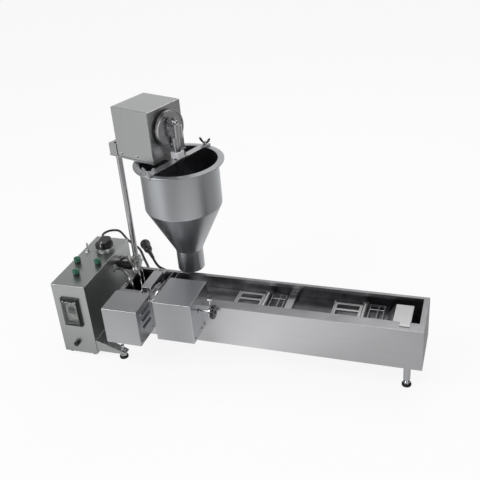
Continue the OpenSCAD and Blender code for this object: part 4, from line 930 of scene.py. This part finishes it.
@dataclass
class MainsCord(Assembly):
    """The mains lead: gland, lead with a coil of one and a half turns behind the tank, and plug.

    The points repeat the source's route, in millimetres.
    """

    radius: float = 4.5
    length: float = 1.653
    start: Point = (-470.5, 191.82, 45.0)
    lead: tuple[Pair, ...] = (
        (-503, 300), (-540, 338), (-580, 372), (-622, 404), (-664, 438), (-704, 473), (-737, 508),
        (-759, 543), (-761, 568), (-747, 588), (-722, 595), (-700, 585), (-671, 558), (-643, 531),
        (-602, 500), (-565, 472), (-520, 413), (-484, 366), (-462, 331), (-453, 294))
    coil_mid: Pair = (-385, 270)
    coil_heading: float = -53
    coil_radius: float = 44
    coil_pitch: float = 9.9
    coil_sweep: float = 540
    coil_rings: int = 24
    coil_end: float = 9.0
    back: tuple[Point, ...] = ((-455, 378, 11), (-439, 366, 6), (-418, 356, 5), (-394, 343, 7))
    plug_at: Pair = (-552, 494)
    plug_heading: float = -51
    plug_radius: float = 18.5
    plug_length: float = 60
    relief: float = 60
    floor_gap: float = 0.3
    floor_height: float = 5
    steps: int = 4
    # The first points from the gland, and how far the lead runs on from the plug's tail and falls.
    drop: tuple[Point, ...] = ((0, 14, 0), (-2, 36, -6), (-7, 60, -20), (-16, 83, -34))
    tail: Pair = (14, 2)
    pin_out: float = 9.5
    rings: int = 48
    # Profiles: how far each point stands out of the lead or the plug's radius, and its height.
    gland_foot: Profile = ((5, 0), (5, 8), (4.4, 8.6), (4.4, 17.4), (3.5, 18))
    gland_tip: Profile = ((1.2, 46.8), (0.9, 48))
    gland_nut: Profile = ((8.2, 0), (9, 0.8), (9, 4.2), (8.2, 5))
    gland_ribs: Ribs = Ribs(6, 19, 4.6, 3.4, 0.38, ((0, 0), (-0.1, 2.6), (-1.1, 3.1), (-1.2, 4.1)))
    plug_face: Profile = ((-1.6, 0), (-0.4, 0.5), (0, 1.6), (0, 12.4), (-0.6, 14))
    plug_neck: Profile = ((-5.4, -4), (-7.5, 0))
    plug_tip: Profile = ((1.2, -1), (0.8, 0))
    plug_ribs: Ribs = Ribs(7, 16, 5.2, -2.4, 0.2, ((0, 0), (0, 3), (-1, 3.6), (-1, 4.6)))
    tail_ribs: Ribs = Ribs(9, 4, 6, 3.7, 0.3, ((0, 0), (-0.1, 3.6), (-0.9, 4.1), (-1, 5.2)))
    pin: Profile = ((1.2, -19), (2.1, -18.4), (2.4, -17), (2.4, 0.5))

    def along(self, heading: float) -> Vector:
        """Gives the flat direction of a heading in degrees."""
        return Vector((math.cos(math.radians(heading)), math.sin(math.radians(heading)), 0))

    def coil_point(self, angle: float) -> Vector:
        """Finds a point of the coil, which spirals in, climbs a layer and spirals out.

        Args:
            angle: how far round it is, in degrees.

        Returns:
            The point, in millimetres.
        """
        half = self.coil_sweep / 2
        t = min(1.0, max(0.0, (angle - half + 90) / 180))
        height = self.radius + self.floor_gap + self.coil_pitch * t * t * (3 - 2 * t)
        reach = self.coil_radius + self.coil_pitch * abs(angle - half) / 360
        return Vector((*self.coil_mid, height)) + reach * self.along(self.coil_heading - 90 + angle)

    def route(self) -> list[Vector]:
        """Joins the lead, the coil and the run back to the plug.

        Returns:
            The points of the whole lead, in metres, from the gland to the plug.
        """
        start, heading = Vector(self.start), self.along(self.coil_heading)
        count = int(self.coil_rings * self.coil_sweep / 360)
        coil = [self.coil_point(i * 360 / self.coil_rings) for i in range(count + 1)]
        begin, end = coil[0] - self.coil_end * heading, coil[-1] - self.coil_end * heading
        out = [start] + [start + Vector(d) for d in self.drop]
        out += [Vector((x, y, self.floor_height)) for x, y in self.lead]
        out += [begin - 2 * self.coil_end * heading, begin]
        ahead = self.along(self.plug_heading)
        plug_back = Vector((*self.plug_at, self.plug_radius + self.floor_gap))
        plug_back += (self.plug_length + self.relief) * ahead
        back = [plug_back, plug_back + self.tail[0] * ahead - Vector((0, 0, self.tail[1]))]
        back += [Vector(p) for p in self.back] + [end - 2 * self.coil_end * heading, end]
        whole = smooth_path(out, self.steps)[:-1] + coil + smooth_path(back, self.steps)[::-1]
        return [p * MM for p in whole]

    def make_lead(self) -> bpy.types.Object:
        """Makes the lead as one curve.

        Returns:
            The curve.
        """
        points = self.route()
        curve = bpy.data.curves.new("mains_lead", "CURVE")
        curve.dimensions = "3D"
        curve.bevel_depth = self.radius * MM
        curve.bevel_resolution = 3
        curve.use_fill_caps = True
        spline = curve.splines.new("POLY")
        spline.points.add(len(points) - 1)
        for knot, spot in zip(spline.points, points):
            knot.co = (*spot, 1.0)
        spline.use_smooth = True
        curve.materials.append(SHEATH.material())
        made = in_scene("mains_lead", curve)
        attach(made, Body.FRAME.value)
        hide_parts("mains_cord_out", "mains_coil", "mains_cord_back")
        log.info("made mains_lead")
        return made

    def make_gland(self) -> bpy.types.Object:
        """Makes the gland with its hexagon, its clamping nut and its ribbed nose.

        Returns:
            The gland.
        """
        r = self.radius
        body = lathe([*shifted(self.gland_foot, r), *self.gland_ribs.points(r), *shifted(self.gland_tip, r)],
                     self.rings)
        nut = lathe(shifted(self.gland_nut, r), 6)
        nose = middle("cord_gland")
        place = axis_along((0, 1, 0), (nose.x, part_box("cord_gland")[0].y, nose.z))
        return self.piece("cord_gland_ribbed", moved(join(body, nut), place), PHENOLIC, Body.FRAME,
                          "cord_gland")

    def make_plug(self) -> bpy.types.Object:
        """Makes the moulded plug with its grip ribs and tapered tail, and its pins.

        Returns:
            The plug.
        """
        r, end, tip = self.plug_radius, self.plug_length, self.plug_length + self.relief
        profile = [(2 * AXIS_GAP, 0), *shifted(self.plug_face, r), *self.plug_ribs.points(r),
                   *shifted(self.plug_neck, r, end), (self.radius + 4, end + 2),
                   *self.tail_ribs.points(self.radius, end), *shifted(self.plug_tip, self.radius, tip)]
        start = (self.plug_at[0] * MM, self.plug_at[1] * MM, (r + self.floor_gap) * MM)
        turn = Matrix.Translation(start) @ Matrix.Rotation(math.radians(self.plug_heading), 4, "Z")
        lie = Matrix.Rotation(math.radians(90), 4, "Y")
        plug = self.piece("mains_plug_moulded", moved(lathe(profile, self.rings), turn @ lie), PHENOLIC,
                          Body.FRAME, "mains_plug")
        pins = [moved(lathe(self.pin, 24), turn @ Matrix.Translation((0, side * self.pin_out * MM, 0)) @ lie)
                for side in (-1, 1)]
        self.pins = self.piece("mains_plug_pins", join(*pins), PIN_PLATE, Body.FRAME)
        return plug

    def build(self) -> None:
        gland, lead, plug = self.make_gland(), self.make_lead(), self.make_plug()


@dataclass
class Tank(Assembly):
    """The oil tank with its deck, weir, ramp, guard, guide plates and feet."""

    def build(self) -> None:
        """Dresses the tank's sheet pieces and its feet."""
        self.soften(SHELL_STEEL, "tank_shell", outer_mm=1.2, inner_mm=0.5)
        self.soften(TRAY_STEEL, "out_ramp", "weir_plate", outer_mm=0.8, inner_mm=0.4)
        self.soften(TANK_STEEL, "paddle_guard", "guide_plates", outer_mm=0.8, inner_mm=0.4)
        self.keep(DECK_STEEL, "flow_deck")
        self.keep(TANK_STEEL, "push_rod")
        self.soften(BOX_STEEL, "foot_bracket", outer_mm=0.7, inner_mm=0.4)
        self.keep(SCREW_PLATE, "foot_stems")
        self.soften(PAD_RUBBER, "foot_pads", outer_mm=1.0, inner_mm=0.8)


@dataclass
class Conveyor(Assembly):
    """The two flippers, their racks, the paddle and the drive in front of the tank."""

    rim_x: float = -40.5
    collar_x: float = -46.5
    flutes: int = 20
    flute_depth: float = 0.9
    flute_zone: Pair = (0.8, 9.2)
    rim: Profile = ((5.2, 0), (17.6, 0), (20, 1.5), (20, 8.5), (17.6, 10), (5.2, 10))
    collar: Profile = ((5.2, 0), (12.4, 0), (13, 0.8), (13, 6), (5.2, 6))
    bar: Profile = ((0.01, 0), (2.8, 0), (2.8, 14), (0.01, 14))
    # The spoke's place along the collar, the height of its foot, its radius and its distance from the top.
    spoke: tuple[float, float, float, float] = (3.5, 12.0, 2.2, 2.6)

    def hand_wheel(self) -> None:
        """Makes the fluted wheel, and the plated collar with the bar that turns it."""
        low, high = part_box("hand_wheel")
        shaft = middle("cam_shaft")
        rim = lathe(rounded(self.rim, 1.0), 120, True, self.flutes, self.flute_depth, self.flute_zone)
        rim = moved(rim, axis_along((1, 0, 0), (self.rim_x * MM, shaft.y, shaft.z)))
        self.piece("hand_wheel_rim", rim, PHENOLIC, Body.CAM, "hand_wheel")
        collar = lathe(rounded(self.collar, 0.5), 48, True)
        collar = moved(collar, axis_along((1, 0, 0), (self.collar_x * MM, shaft.y, shaft.z)))
        along, foot, radius, gap = (v * MM for v in self.spoke)
        foot_end = Vector((self.collar_x * MM + along, shaft.y, shaft.z + foot))
        spoke = tube([foot_end, Vector((foot_end.x, shaft.y, high.z - gap))], radius)
        bar = lathe(rounded(self.bar, 0.8), 24)
        bar = moved(bar, axis_along((1, 0, 0), (low.x, shaft.y, high.z - self.bar[1][0] * MM)))
        self.piece("hand_wheel_bar", join(collar, spoke, bar), SCREW_PLATE, Body.CAM)

    def build(self) -> None:
        """Dresses the moving pieces over the oil and the two covers of their drives."""
        self.soften(COVER_STEEL, "motor_cover", "flip_cover", outer_mm=1.8, inner_mm=0.4)
        self.soften(TRAY_STEEL, "flipper_1", "flipper_2", outer_mm=0.6, inner_mm=0.3)
        self.keep(RACK_STEEL, "landing_racks")
        self.keep(BRIGHT_STEEL, "paddle_wheel", "cam_shaft", "link_conduit")
        self.keep(CAST_PAINT, "paddle_motor", "flip_gearmotor")
        self.hand_wheel()


@dataclass
class ControlBox(Assembly):
    """The control box with its dial, toggle, push buttons, fuse, breaker window and duct."""

    dial_turn: float = -85.0
    grip_half: float = 26.5
    line_front: Point = (0.8, 2.0, 10.0)
    line_top: Point = (13.0, 2.0, 0.6)
    # The middles of the line's two lengths, from the grip's end and its top. The upright length on the grip's
    # end is a pointer mark and a painted highlight on the grip's front edge.
    front_at: Point = (0.0, 0.0, -6.6)
    top_at: Point = (-8.0, 0.0, 0.0)
    tick_reach: float = 31.5
    tick_long: float = 2.4
    tick_wide: Pair = (0.7, 1.2)
    tick_thick: float = 0.3
    tick_steps: int = 30
    dial_sweep: float = 270.0
    rib_pitch: float = 5.0
    rib_depth: float = 1.3
    duct_bore: float = 9.2

    def dial(self) -> None:
        """Makes the dial with its grip, the pale line on the grip's end, which is a pointer mark and also a
        painted highlight, and the marks round it.
        """
        self.soften(PHENOLIC, "dial_knob", outer_mm=1.6, inner_mm=1.2)
        mid, top = middle("dial_knob"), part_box("dial_knob")[1].z
        turn = (Matrix.Translation((mid.x, mid.y, top))
                @ Matrix.Rotation(math.radians(self.dial_turn), 4, "Z")
                @ Matrix.Translation((self.grip_half * MM, 0, 0)))
        line = [moved(block(size, 0.15), turn @ Matrix.Translation([v * MM for v in spot]))
                for size, spot in ((self.line_front, self.front_at), (self.line_top, self.top_at))]
        self.piece("dial_pointer_and_painted_glint", join(*line), MARK_AND_GLINT_PAINT, Body.DIAL)
        centre = Matrix.Translation((mid.x, mid.y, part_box("control_box")[1].z))
        out = Matrix.Translation((self.tick_reach * MM, 0, 0.02 * MM))
        ticks = []
        for i in range(self.tick_steps + 1):
            tick = block((self.tick_long, self.tick_wide[i % 5 == 0], self.tick_thick), 0.05)
            angle = math.radians(self.dial_turn - self.dial_sweep * i / self.tick_steps)
            ticks.append(moved(tick, centre @ Matrix.Rotation(angle, 4, "Z") @ out))
        self.piece("dial_marks", join(*ticks), PHENOLIC, Body.FRAME)

    def duct(self) -> None:
        """Makes the ribbed black duct between the box and the column's foot."""
        low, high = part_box("cable_sleeve")
        count = int((high.x - low.x) / (self.rib_pitch * MM))
        wide, length = (high.z - low.z) / 2 / MM, (high.x - low.x) / MM
        pitch, depth = length / count, self.rib_depth
        rib = ((-depth, 0), (-depth, 0.2 * pitch), (0, 0.4 * pitch), (0, 0.75 * pitch),
               (-depth, 0.95 * pitch))
        profile = [*Ribs(count, 0, pitch, 0, 0, rib).points(wide), (wide - depth, length),
                   (self.duct_bore, length), (self.duct_bore, 0)]
        mid = middle("cable_sleeve")
        mesh = moved(lathe(profile, 48, True), axis_along((1, 0, 0), (low.x, mid.y, mid.z)))
        self.piece("cable_duct_ribbed", mesh, PAD_RUBBER, Body.FRAME, "cable_sleeve")

    def build(self) -> None:
        """Dresses the casing and makes its controls."""
        self.soften(BOX_STEEL, "control_box", outer_mm=1.8, inner_mm=0.4)
        self.soften(BOX_STEEL, "control_back", outer_mm=0.6, inner_mm=0.3)
        self.soften(BEZEL_BLACK, "breaker_bezel", outer_mm=1.0, inner_mm=0.5)
        self.soften(PHENOLIC, "button_collars", "fuse_cap", outer_mm=0.5, inner_mm=0.5)
        self.keep(WHITE_CASE, "breaker_body")
        self.keep(PHENOLIC, "breaker_lever")
        self.keep(CLEAR_FLAP, "breaker_flap")
        self.keep(GREEN_CAP, "green_button_1", "green_button_2", "green_button_3")
        self.keep(SCREW_PLATE, "toggle_collar", "toggle_lever", "frame_screws")
        self.keep(BOX_STEEL, "dial_plate", "heater_glands")
        self.keep(CAPILLARY_CAST, "thermostat")
        self.dial()
        self.duct()


@dataclass
class Heater(Assembly):
    """The bent heater tube from the box, over the left rim, along the floor and back.

    Places are in millimetres from the tank's left front corner in plan, and above the floor.
    """

    radius: float = 4.5
    corner: Pair = (-348.0, -100.18)
    front: tuple[Point, ...] = (
        (-76, 140, 199), (-59, 140, 199.5), (-42, 131, 205), (-22, 112, 211), (-5, 93, 215), (12, 77, 212),
        (23, 69, 199), (25, 66, 181), (26, 63, 120), (36, 58, 106), (62, 55, 104), (110, 55, 104),
        (715.5, 55, 104))
    back: tuple[Point, ...] = (
        (715.5, 110, 104), (110, 110, 104), (62, 110, 104), (36, 112, 106), (26, 116, 120), (25, 119, 181),
        (23, 121, 199), (12, 127, 213), (-5, 139, 218), (-24, 156, 220), (-42, 179, 218), (-59, 190, 208),
        (-76, 190, 207))
    bend_mid: Point = (765.5, 82.5, 104)
    bend_radius: float = 27.5

    def build(self) -> None:
        """Makes the tube."""
        turns = [math.radians(22.5 * k - 90) for k in range(9)]
        mid, r = Vector(self.bend_mid), self.bend_radius
        bend = [mid + r * Vector((math.cos(a), math.sin(a), 0)) for a in turns]
        shift = Vector((*self.corner, 0))
        points = smooth_path([(Vector(p) + shift) * MM for p in (*self.front, *bend, *self.back)], 6)
        self.piece("heater_tube_bent", tube(points, self.radius * MM), HEATER_TUBE, Body.FRAME,
                   "heater_element")


@dataclass
class Column(Assembly):
    """The column that the head swings on, and the socket that holds it at the tank's corner."""

    def build(self) -> None:
        """Dresses the column and its socket."""
        self.keep(BRIGHT_STEEL, "column")
        self.soften(BOX_STEEL, "column_socket", outer_mm=0.8, inner_mm=0.5)


@dataclass
class Head(Assembly):
    """The head: its plate and cover, the crank for the plunger, and the crossbar with its wing bolts."""

    def build(self) -> None:
        """Dresses the head's pieces."""
        self.soften(HEAD_STEEL, "head_cover", outer_mm=2.0, inner_mm=0.4, yaw=HEAD_YAW)
        self.soften(HEAD_STEEL, "head_plate", outer_mm=0.8, inner_mm=0.4, yaw=HEAD_YAW)
        self.soften(BAR_STEEL, "crossbar", outer_mm=0.6, inner_mm=0.3, yaw=HEAD_YAW)
        self.soften(BRIGHT_STEEL, "crank_disc", outer_mm=1.0, inner_mm=0.8, yaw=HEAD_YAW)
        self.soften(SCREW_PLATE, "wing_bolt_front", "wing_bolt_back", outer_mm=0.6, inner_mm=0.6)
        self.soften(NYLON, "guide_block", outer_mm=0.8, inner_mm=0.4, yaw=HEAD_YAW)
        self.soften(BRIGHT_STEEL, "con_rod", outer_mm=1.2, inner_mm=1.2, yaw=HEAD_YAW)
        self.keep(BRIGHT_STEEL, "plunger")
        self.keep(CAST_PAINT, "head_gearmotor")
        self.keep(SCREW_PLATE, "head_screws")


@dataclass
class Hopper(Assembly):
    """The spun hopper: flange, bowl, cone and nozzle, and the nuts under its flange, in millimetres."""

    flange: float = 127.5
    bowl: float = 111.0
    nozzle: float = 39.5
    wall: float = 2.0
    top: float = 560.0
    bowl_foot: float = 427.0
    cone_foot: float = 285.0
    mouth: float = 218.0
    bolt_out: float = 119.25
    flange_thick: float = 5.0
    # The bead where the nozzle is welded on: how far it stands out, and how high it is.
    bead: Pair = (1.2, 2.0)
    mouth_edge: Pair = (1.2, 0.8)
    nut: Profile = ((4.8, 0), (5.5, 0.7), (5.5, 5.8), (5.5, 6.2))
    nut_drop: float = 11.0

    def build(self) -> None:
        """Turns the hopper and makes its nuts."""
        mid = middle("hopper")
        out, high = self.bead
        outer, inner = self.mouth_edge
        under, bore = self.top - self.flange_thick, self.bowl - self.wall
        profile = [
            (self.nozzle - outer, self.mouth), (self.nozzle, self.mouth + outer),
            (self.nozzle, self.cone_foot - high), (self.nozzle + out, self.cone_foot - high),
            (self.nozzle + out, self.cone_foot), (self.bowl, self.bowl_foot), (self.bowl, under),
            (self.flange, under), (self.flange, self.top), (bore, self.top), (bore, self.bowl_foot),
            (self.nozzle - self.wall, self.cone_foot), (self.nozzle - self.wall, self.mouth + inner)]
        shell = moved(lathe(rounded(profile, 1.6, 5), 160, True), Matrix.Translation((mid.x, mid.y, 0)))
        self.piece("hopper_spun", shell, HOPPER_STEEL, Body.HEAD, "hopper")
        across = Vector((-math.sin(HEAD_YAW), math.cos(HEAD_YAW), 0)) * self.bolt_out * MM
        foot = Vector((mid.x, mid.y, (self.top - self.nut_drop) * MM))
        nuts = [moved(lathe(self.nut, 6), Matrix.Translation(foot + side * across)) for side in (-1, 1)]
        self.piece("hopper_nuts", join(*nuts), SCREW_PLATE, Body.HEAD)


@dataclass
class PhotoCamera:
    """The photograph's camera, solved from the edges of the tank and the boxes."""

    place: Point = (0.62637, -1.63731, 1.33121)
    azimuth: float = 20.48
    elevation: float = 28.97
    roll: float = -5.02
    focal_pixels: float = 728.29
    sensor: float = 36.0

    def build(self) -> None:
        """Makes the camera and makes it the scene's own."""
        a, e, r = (math.radians(v) for v in (self.azimuth, self.elevation, self.roll))
        back = Vector((math.sin(a) * math.cos(e), -math.cos(a) * math.cos(e), math.sin(e)))
        right = Vector((math.cos(a), math.sin(a), 0))
        up = back.cross(right)
        axes = (right * math.cos(r) + up * math.sin(r), up * math.cos(r) - right * math.sin(r), back)
        data = bpy.data.cameras.new("photo_camera")
        data.sensor_width = self.sensor
        data.lens = self.focal_pixels / PHOTO_PIXELS * self.sensor
        camera = in_scene("photo_camera", data)
        camera.matrix_world = Matrix.Translation(self.place) @ Matrix(axes).transposed().to_4x4()
        bpy.context.scene.camera = camera
        log.info("made photo_camera")


@dataclass
class Studio:
    """A pale floor and a soft surround. Its far side, towards +X, is darker, as seen in the metal."""

    floor_half: float = 6.0
    light_level: float = 0.62
    # Stops of the surround's tone round the object, from -X anticlockwise seen from above, as parts of a
    # turn. Metal sees the world and the far floor in the first tones, and the near floor in the second.
    tones: Profile = (
        (0.0, 0.32), (0.035, 0.58), (0.07, 0.64), (0.11, 0.78), (0.165, 0.32), (0.24, 0.24),
        (0.29, 0.24), (0.34, 0.3), (0.42, 0.38), (0.5, 0.22), (0.6, 0.28), (0.67, 0.45), (0.77, 0.75),
        (0.83, 0.8), (0.88, 0.45), (0.955, 0.22), (1.0, 0.32))
    near_tones: Profile = (
        (0.0, 0.02), (0.035, 0.05), (0.052, 0.5), (0.12, 0.8), (0.165, 0.52), (0.2, 0.88), (0.27, 1.0),
        (0.33, 0.85), (0.42, 0.58), (0.53, 0.32), (0.64, 0.36), (0.73, 0.62), (0.81, 0.68),
        (0.87, 0.02), (1.0, 0.02))
    near_reach: Pair = (0.6, 0.8)
    # A dark flag over the floor that the head's crank face looks at: its middle, its reach and its tone.
    flag: tuple[float, float, float, float] = (1.42, 0.85, 0.3, 0.05)
    # Stops of the share of its tone that the surround keeps upwards, by the height of a direction.
    fade: Profile = ((0.0, 1.0), (0.3, 1.0), (0.6, 0.45), (0.72, 0.25), (0.85, 0.06), (1.0, 0.05))
    # The parts of a view of the floor that stay white to the camera and toned to metal.
    floor_shares: Pair = (0.88, 0.92)
    # Each lamp's name, place, size in metres and power in watts.
    lamps: tuple[tuple[str, Point, float, float], ...] = (
        ("key_lamp", (-1.6, -1.9, 2.6), 1.8, 42.0),
        ("top_lamp", (0.3, 1.4, 2.6), 1.6, 18.0),
        ("fill_lamp", (2.2, -1.2, 1.6), 1.6, 9.0))
    aim: Point = (-0.1, 0.0, 0.3)

    def surround(self, tree: Tree, place: Socket, tones: Profile) -> Socket:
        """Adds the surround's tone round the object.

        Args:
            tree: the node tree.
            place: a direction or a place on the floor.
            tones: the stops of the tone.

        Returns:
            The tone as a colour.
        """
        around = add_node(tree, "TexGradient", {"Vector": place}, gradient_type="RADIAL")
        return self.stepped(tree, around.outputs[0], tones)

    def stepped(self, tree: Tree, value: Socket, tones: Profile) -> Socket:
        """Adds the ramp that runs smoothly from tone to tone along a value.

        Args:
            tree: the node tree.
            value: the value, from 0 to 1.
            tones: the stops of the tone.

        Returns:
            The tone as a colour.
        """
        ramp = add_node(tree, "ValToRGB", {0: value})
        ramp.color_ramp.interpolation = "EASE"
        stops = ramp.color_ramp.elements
        while len(stops) < len(tones):
            stops.new(0.5)
        for stop, (spot, tone) in zip(stops, tones):
            stop.position = spot
            stop.color = (tone, tone, tone, 1)
        return ramp.outputs[0]

    def floor_tone(self, tree: Tree, place: Socket) -> Socket:
        """Adds the floor's tone, which goes from the near stops to the far ones with the distance.

        Args:
            tree: the floor's node tree.
            place: a place on the floor.

        Returns:
            The tone as a colour.
        """
        reach = add_node(tree, "VectorMath", {0: place}, operation="LENGTH")
        near, far = self.near_reach
        share = add_node(tree, "MapRange", {0: reach.outputs["Value"], "From Min": near, "From Max": far},
                         interpolation_type="SMOOTHSTEP")
        tone = add_node(tree, "Mix", {
            0: share.outputs[0], 6: self.surround(tree, place, self.near_tones),
            7: self.surround(tree, place, self.tones)}, data_type="RGBA")
        x, y, size, dark = self.flag
        away = add_node(tree, "VectorMath", {0: place, 1: (x, y, 0)}, operation="DISTANCE")
        edge = add_node(tree, "MapRange", {0: away.outputs["Value"], "From Min": size / 2, "From Max": size},
                        interpolation_type="SMOOTHSTEP")
        flagged = add_node(tree, "Mix", {
            0: edge.outputs[0], 6: (dark, dark, dark, 1), 7: tone.outputs[2]}, data_type="RGBA")
        return flagged.outputs[2]

    def by_view(self, tree: Tree, plain: Node, white: Node, toned: Node, shares: Pair) -> Socket:
        """Shows a surface white to the camera, toned to metal and glass, and plain to the rest.

        Args:
            tree: the node tree.
            plain: the shader that lights the object.
            white: the shader that the camera sees.
            toned: the shader that metal and glass see.
            shares: how much of the white and of the toned one covers the plain one.

        Returns:
            The mixed shader.
        """
        path = add_node(tree, "LightPath").outputs
        mirror = add_node(tree, "Math", {
            0: path["Is Glossy Ray"], 1: path["Is Transmission Ray"]}, operation="MAXIMUM")
        shown = plain.outputs[0]
        for seen, share, over in zip((path["Is Camera Ray"], mirror.outputs[0]), shares, (white, toned)):
            part = add_node(tree, "Math", {0: seen, 1: share}, operation="MULTIPLY")
            mix = add_node(tree, "MixShader", {0: part.outputs[0], 1: shown, 2: over.outputs[0]})
            shown = mix.outputs[0]
        return shown

    def make_world(self) -> None:
        """Makes a white world that metal sees with the surround's tone."""
        world = bpy.data.worlds.new("studio_world")
        world.use_nodes = True
        tree = world.node_tree
        tree.nodes.clear()
        place = add_node(tree, "TexCoord").outputs["Generated"]
        height = add_node(tree, "SeparateXYZ", {0: place})
        level = self.stepped(tree, height.outputs["Z"], self.fade)
        plain = add_node(tree, "Background", {0: (1, 1, 1, 1), 1: self.light_level})
        toned = add_node(tree, "Background", {0: self.surround(tree, place, self.tones), 1: level})
        white = add_node(tree, "Background", {0: (1, 1, 1, 1), 1: 1.0})
        shown = self.by_view(tree, plain, white, toned, (1.0, 1.0))
        add_node(tree, "OutputWorld", {"Surface": shown})
        bpy.context.scene.world = world

    def make_floor(self) -> None:
        """Makes the floor, which stays white to the camera and keeps the object's shadow."""
        data = bpy.data.meshes.new("studio_floor")
        half = self.floor_half
        corners = [(-half, -half, 0), (half, -half, 0), (half, half, 0), (-half, half, 0)]
        data.from_pydata(corners, [], [(0, 1, 2, 3)])
        made = bpy.data.materials.new("pale_floor_paper")
        made.use_nodes = True
        tree = made.node_tree
        tree.nodes.clear()
        place = add_node(tree, "TexCoord").outputs["Object"]
        paper = add_node(tree, "BsdfDiffuse", {"Color": to_linear("#E6E6E6")})
        white = add_node(tree, "Emission", {"Color": (1, 1, 1, 1), "Strength": 1.0})
        toned = add_node(tree, "Emission", {"Color": self.floor_tone(tree, place), "Strength": 1.0})
        shown = self.by_view(tree, paper, white, toned, self.floor_shares)
        add_node(tree, "OutputMaterial", {"Surface": shown})
        data.materials.append(made)
        floor = in_scene("studio_floor", data)

    def build(self) -> None:
        """Makes the world, the floor and the lamps."""
        self.make_world()
        self.make_floor()
        for name, place, size, power in self.lamps:
            data = bpy.data.lights.new(name, "AREA")
            data.shape = "DISK"
            data.size = size
            data.energy = power
            lamp = in_scene(name, data)
            lamp.location = place
            lamp.rotation_euler = (Vector(self.aim) - Vector(place)).to_track_quat("-Z", "Y").to_euler()
        bpy.context.scene.view_settings.view_transform = "Standard"
        log.info("made the studio")


def main() -> None:
    """Builds the camera, the cord and each sub-assembly in order."""
    logging.basicConfig(level=logging.INFO, format="%(name)s: %(message)s")
    PhotoCamera().build()
    for assembly in (MainsCord(), Tank(), Conveyor(), ControlBox(), Heater(), Column(), Head(), Hopper()):
        log.info("building %s", type(assembly).__name__)
        assembly.build()
    Studio().build()


if __name__ == "__main__":
    main()
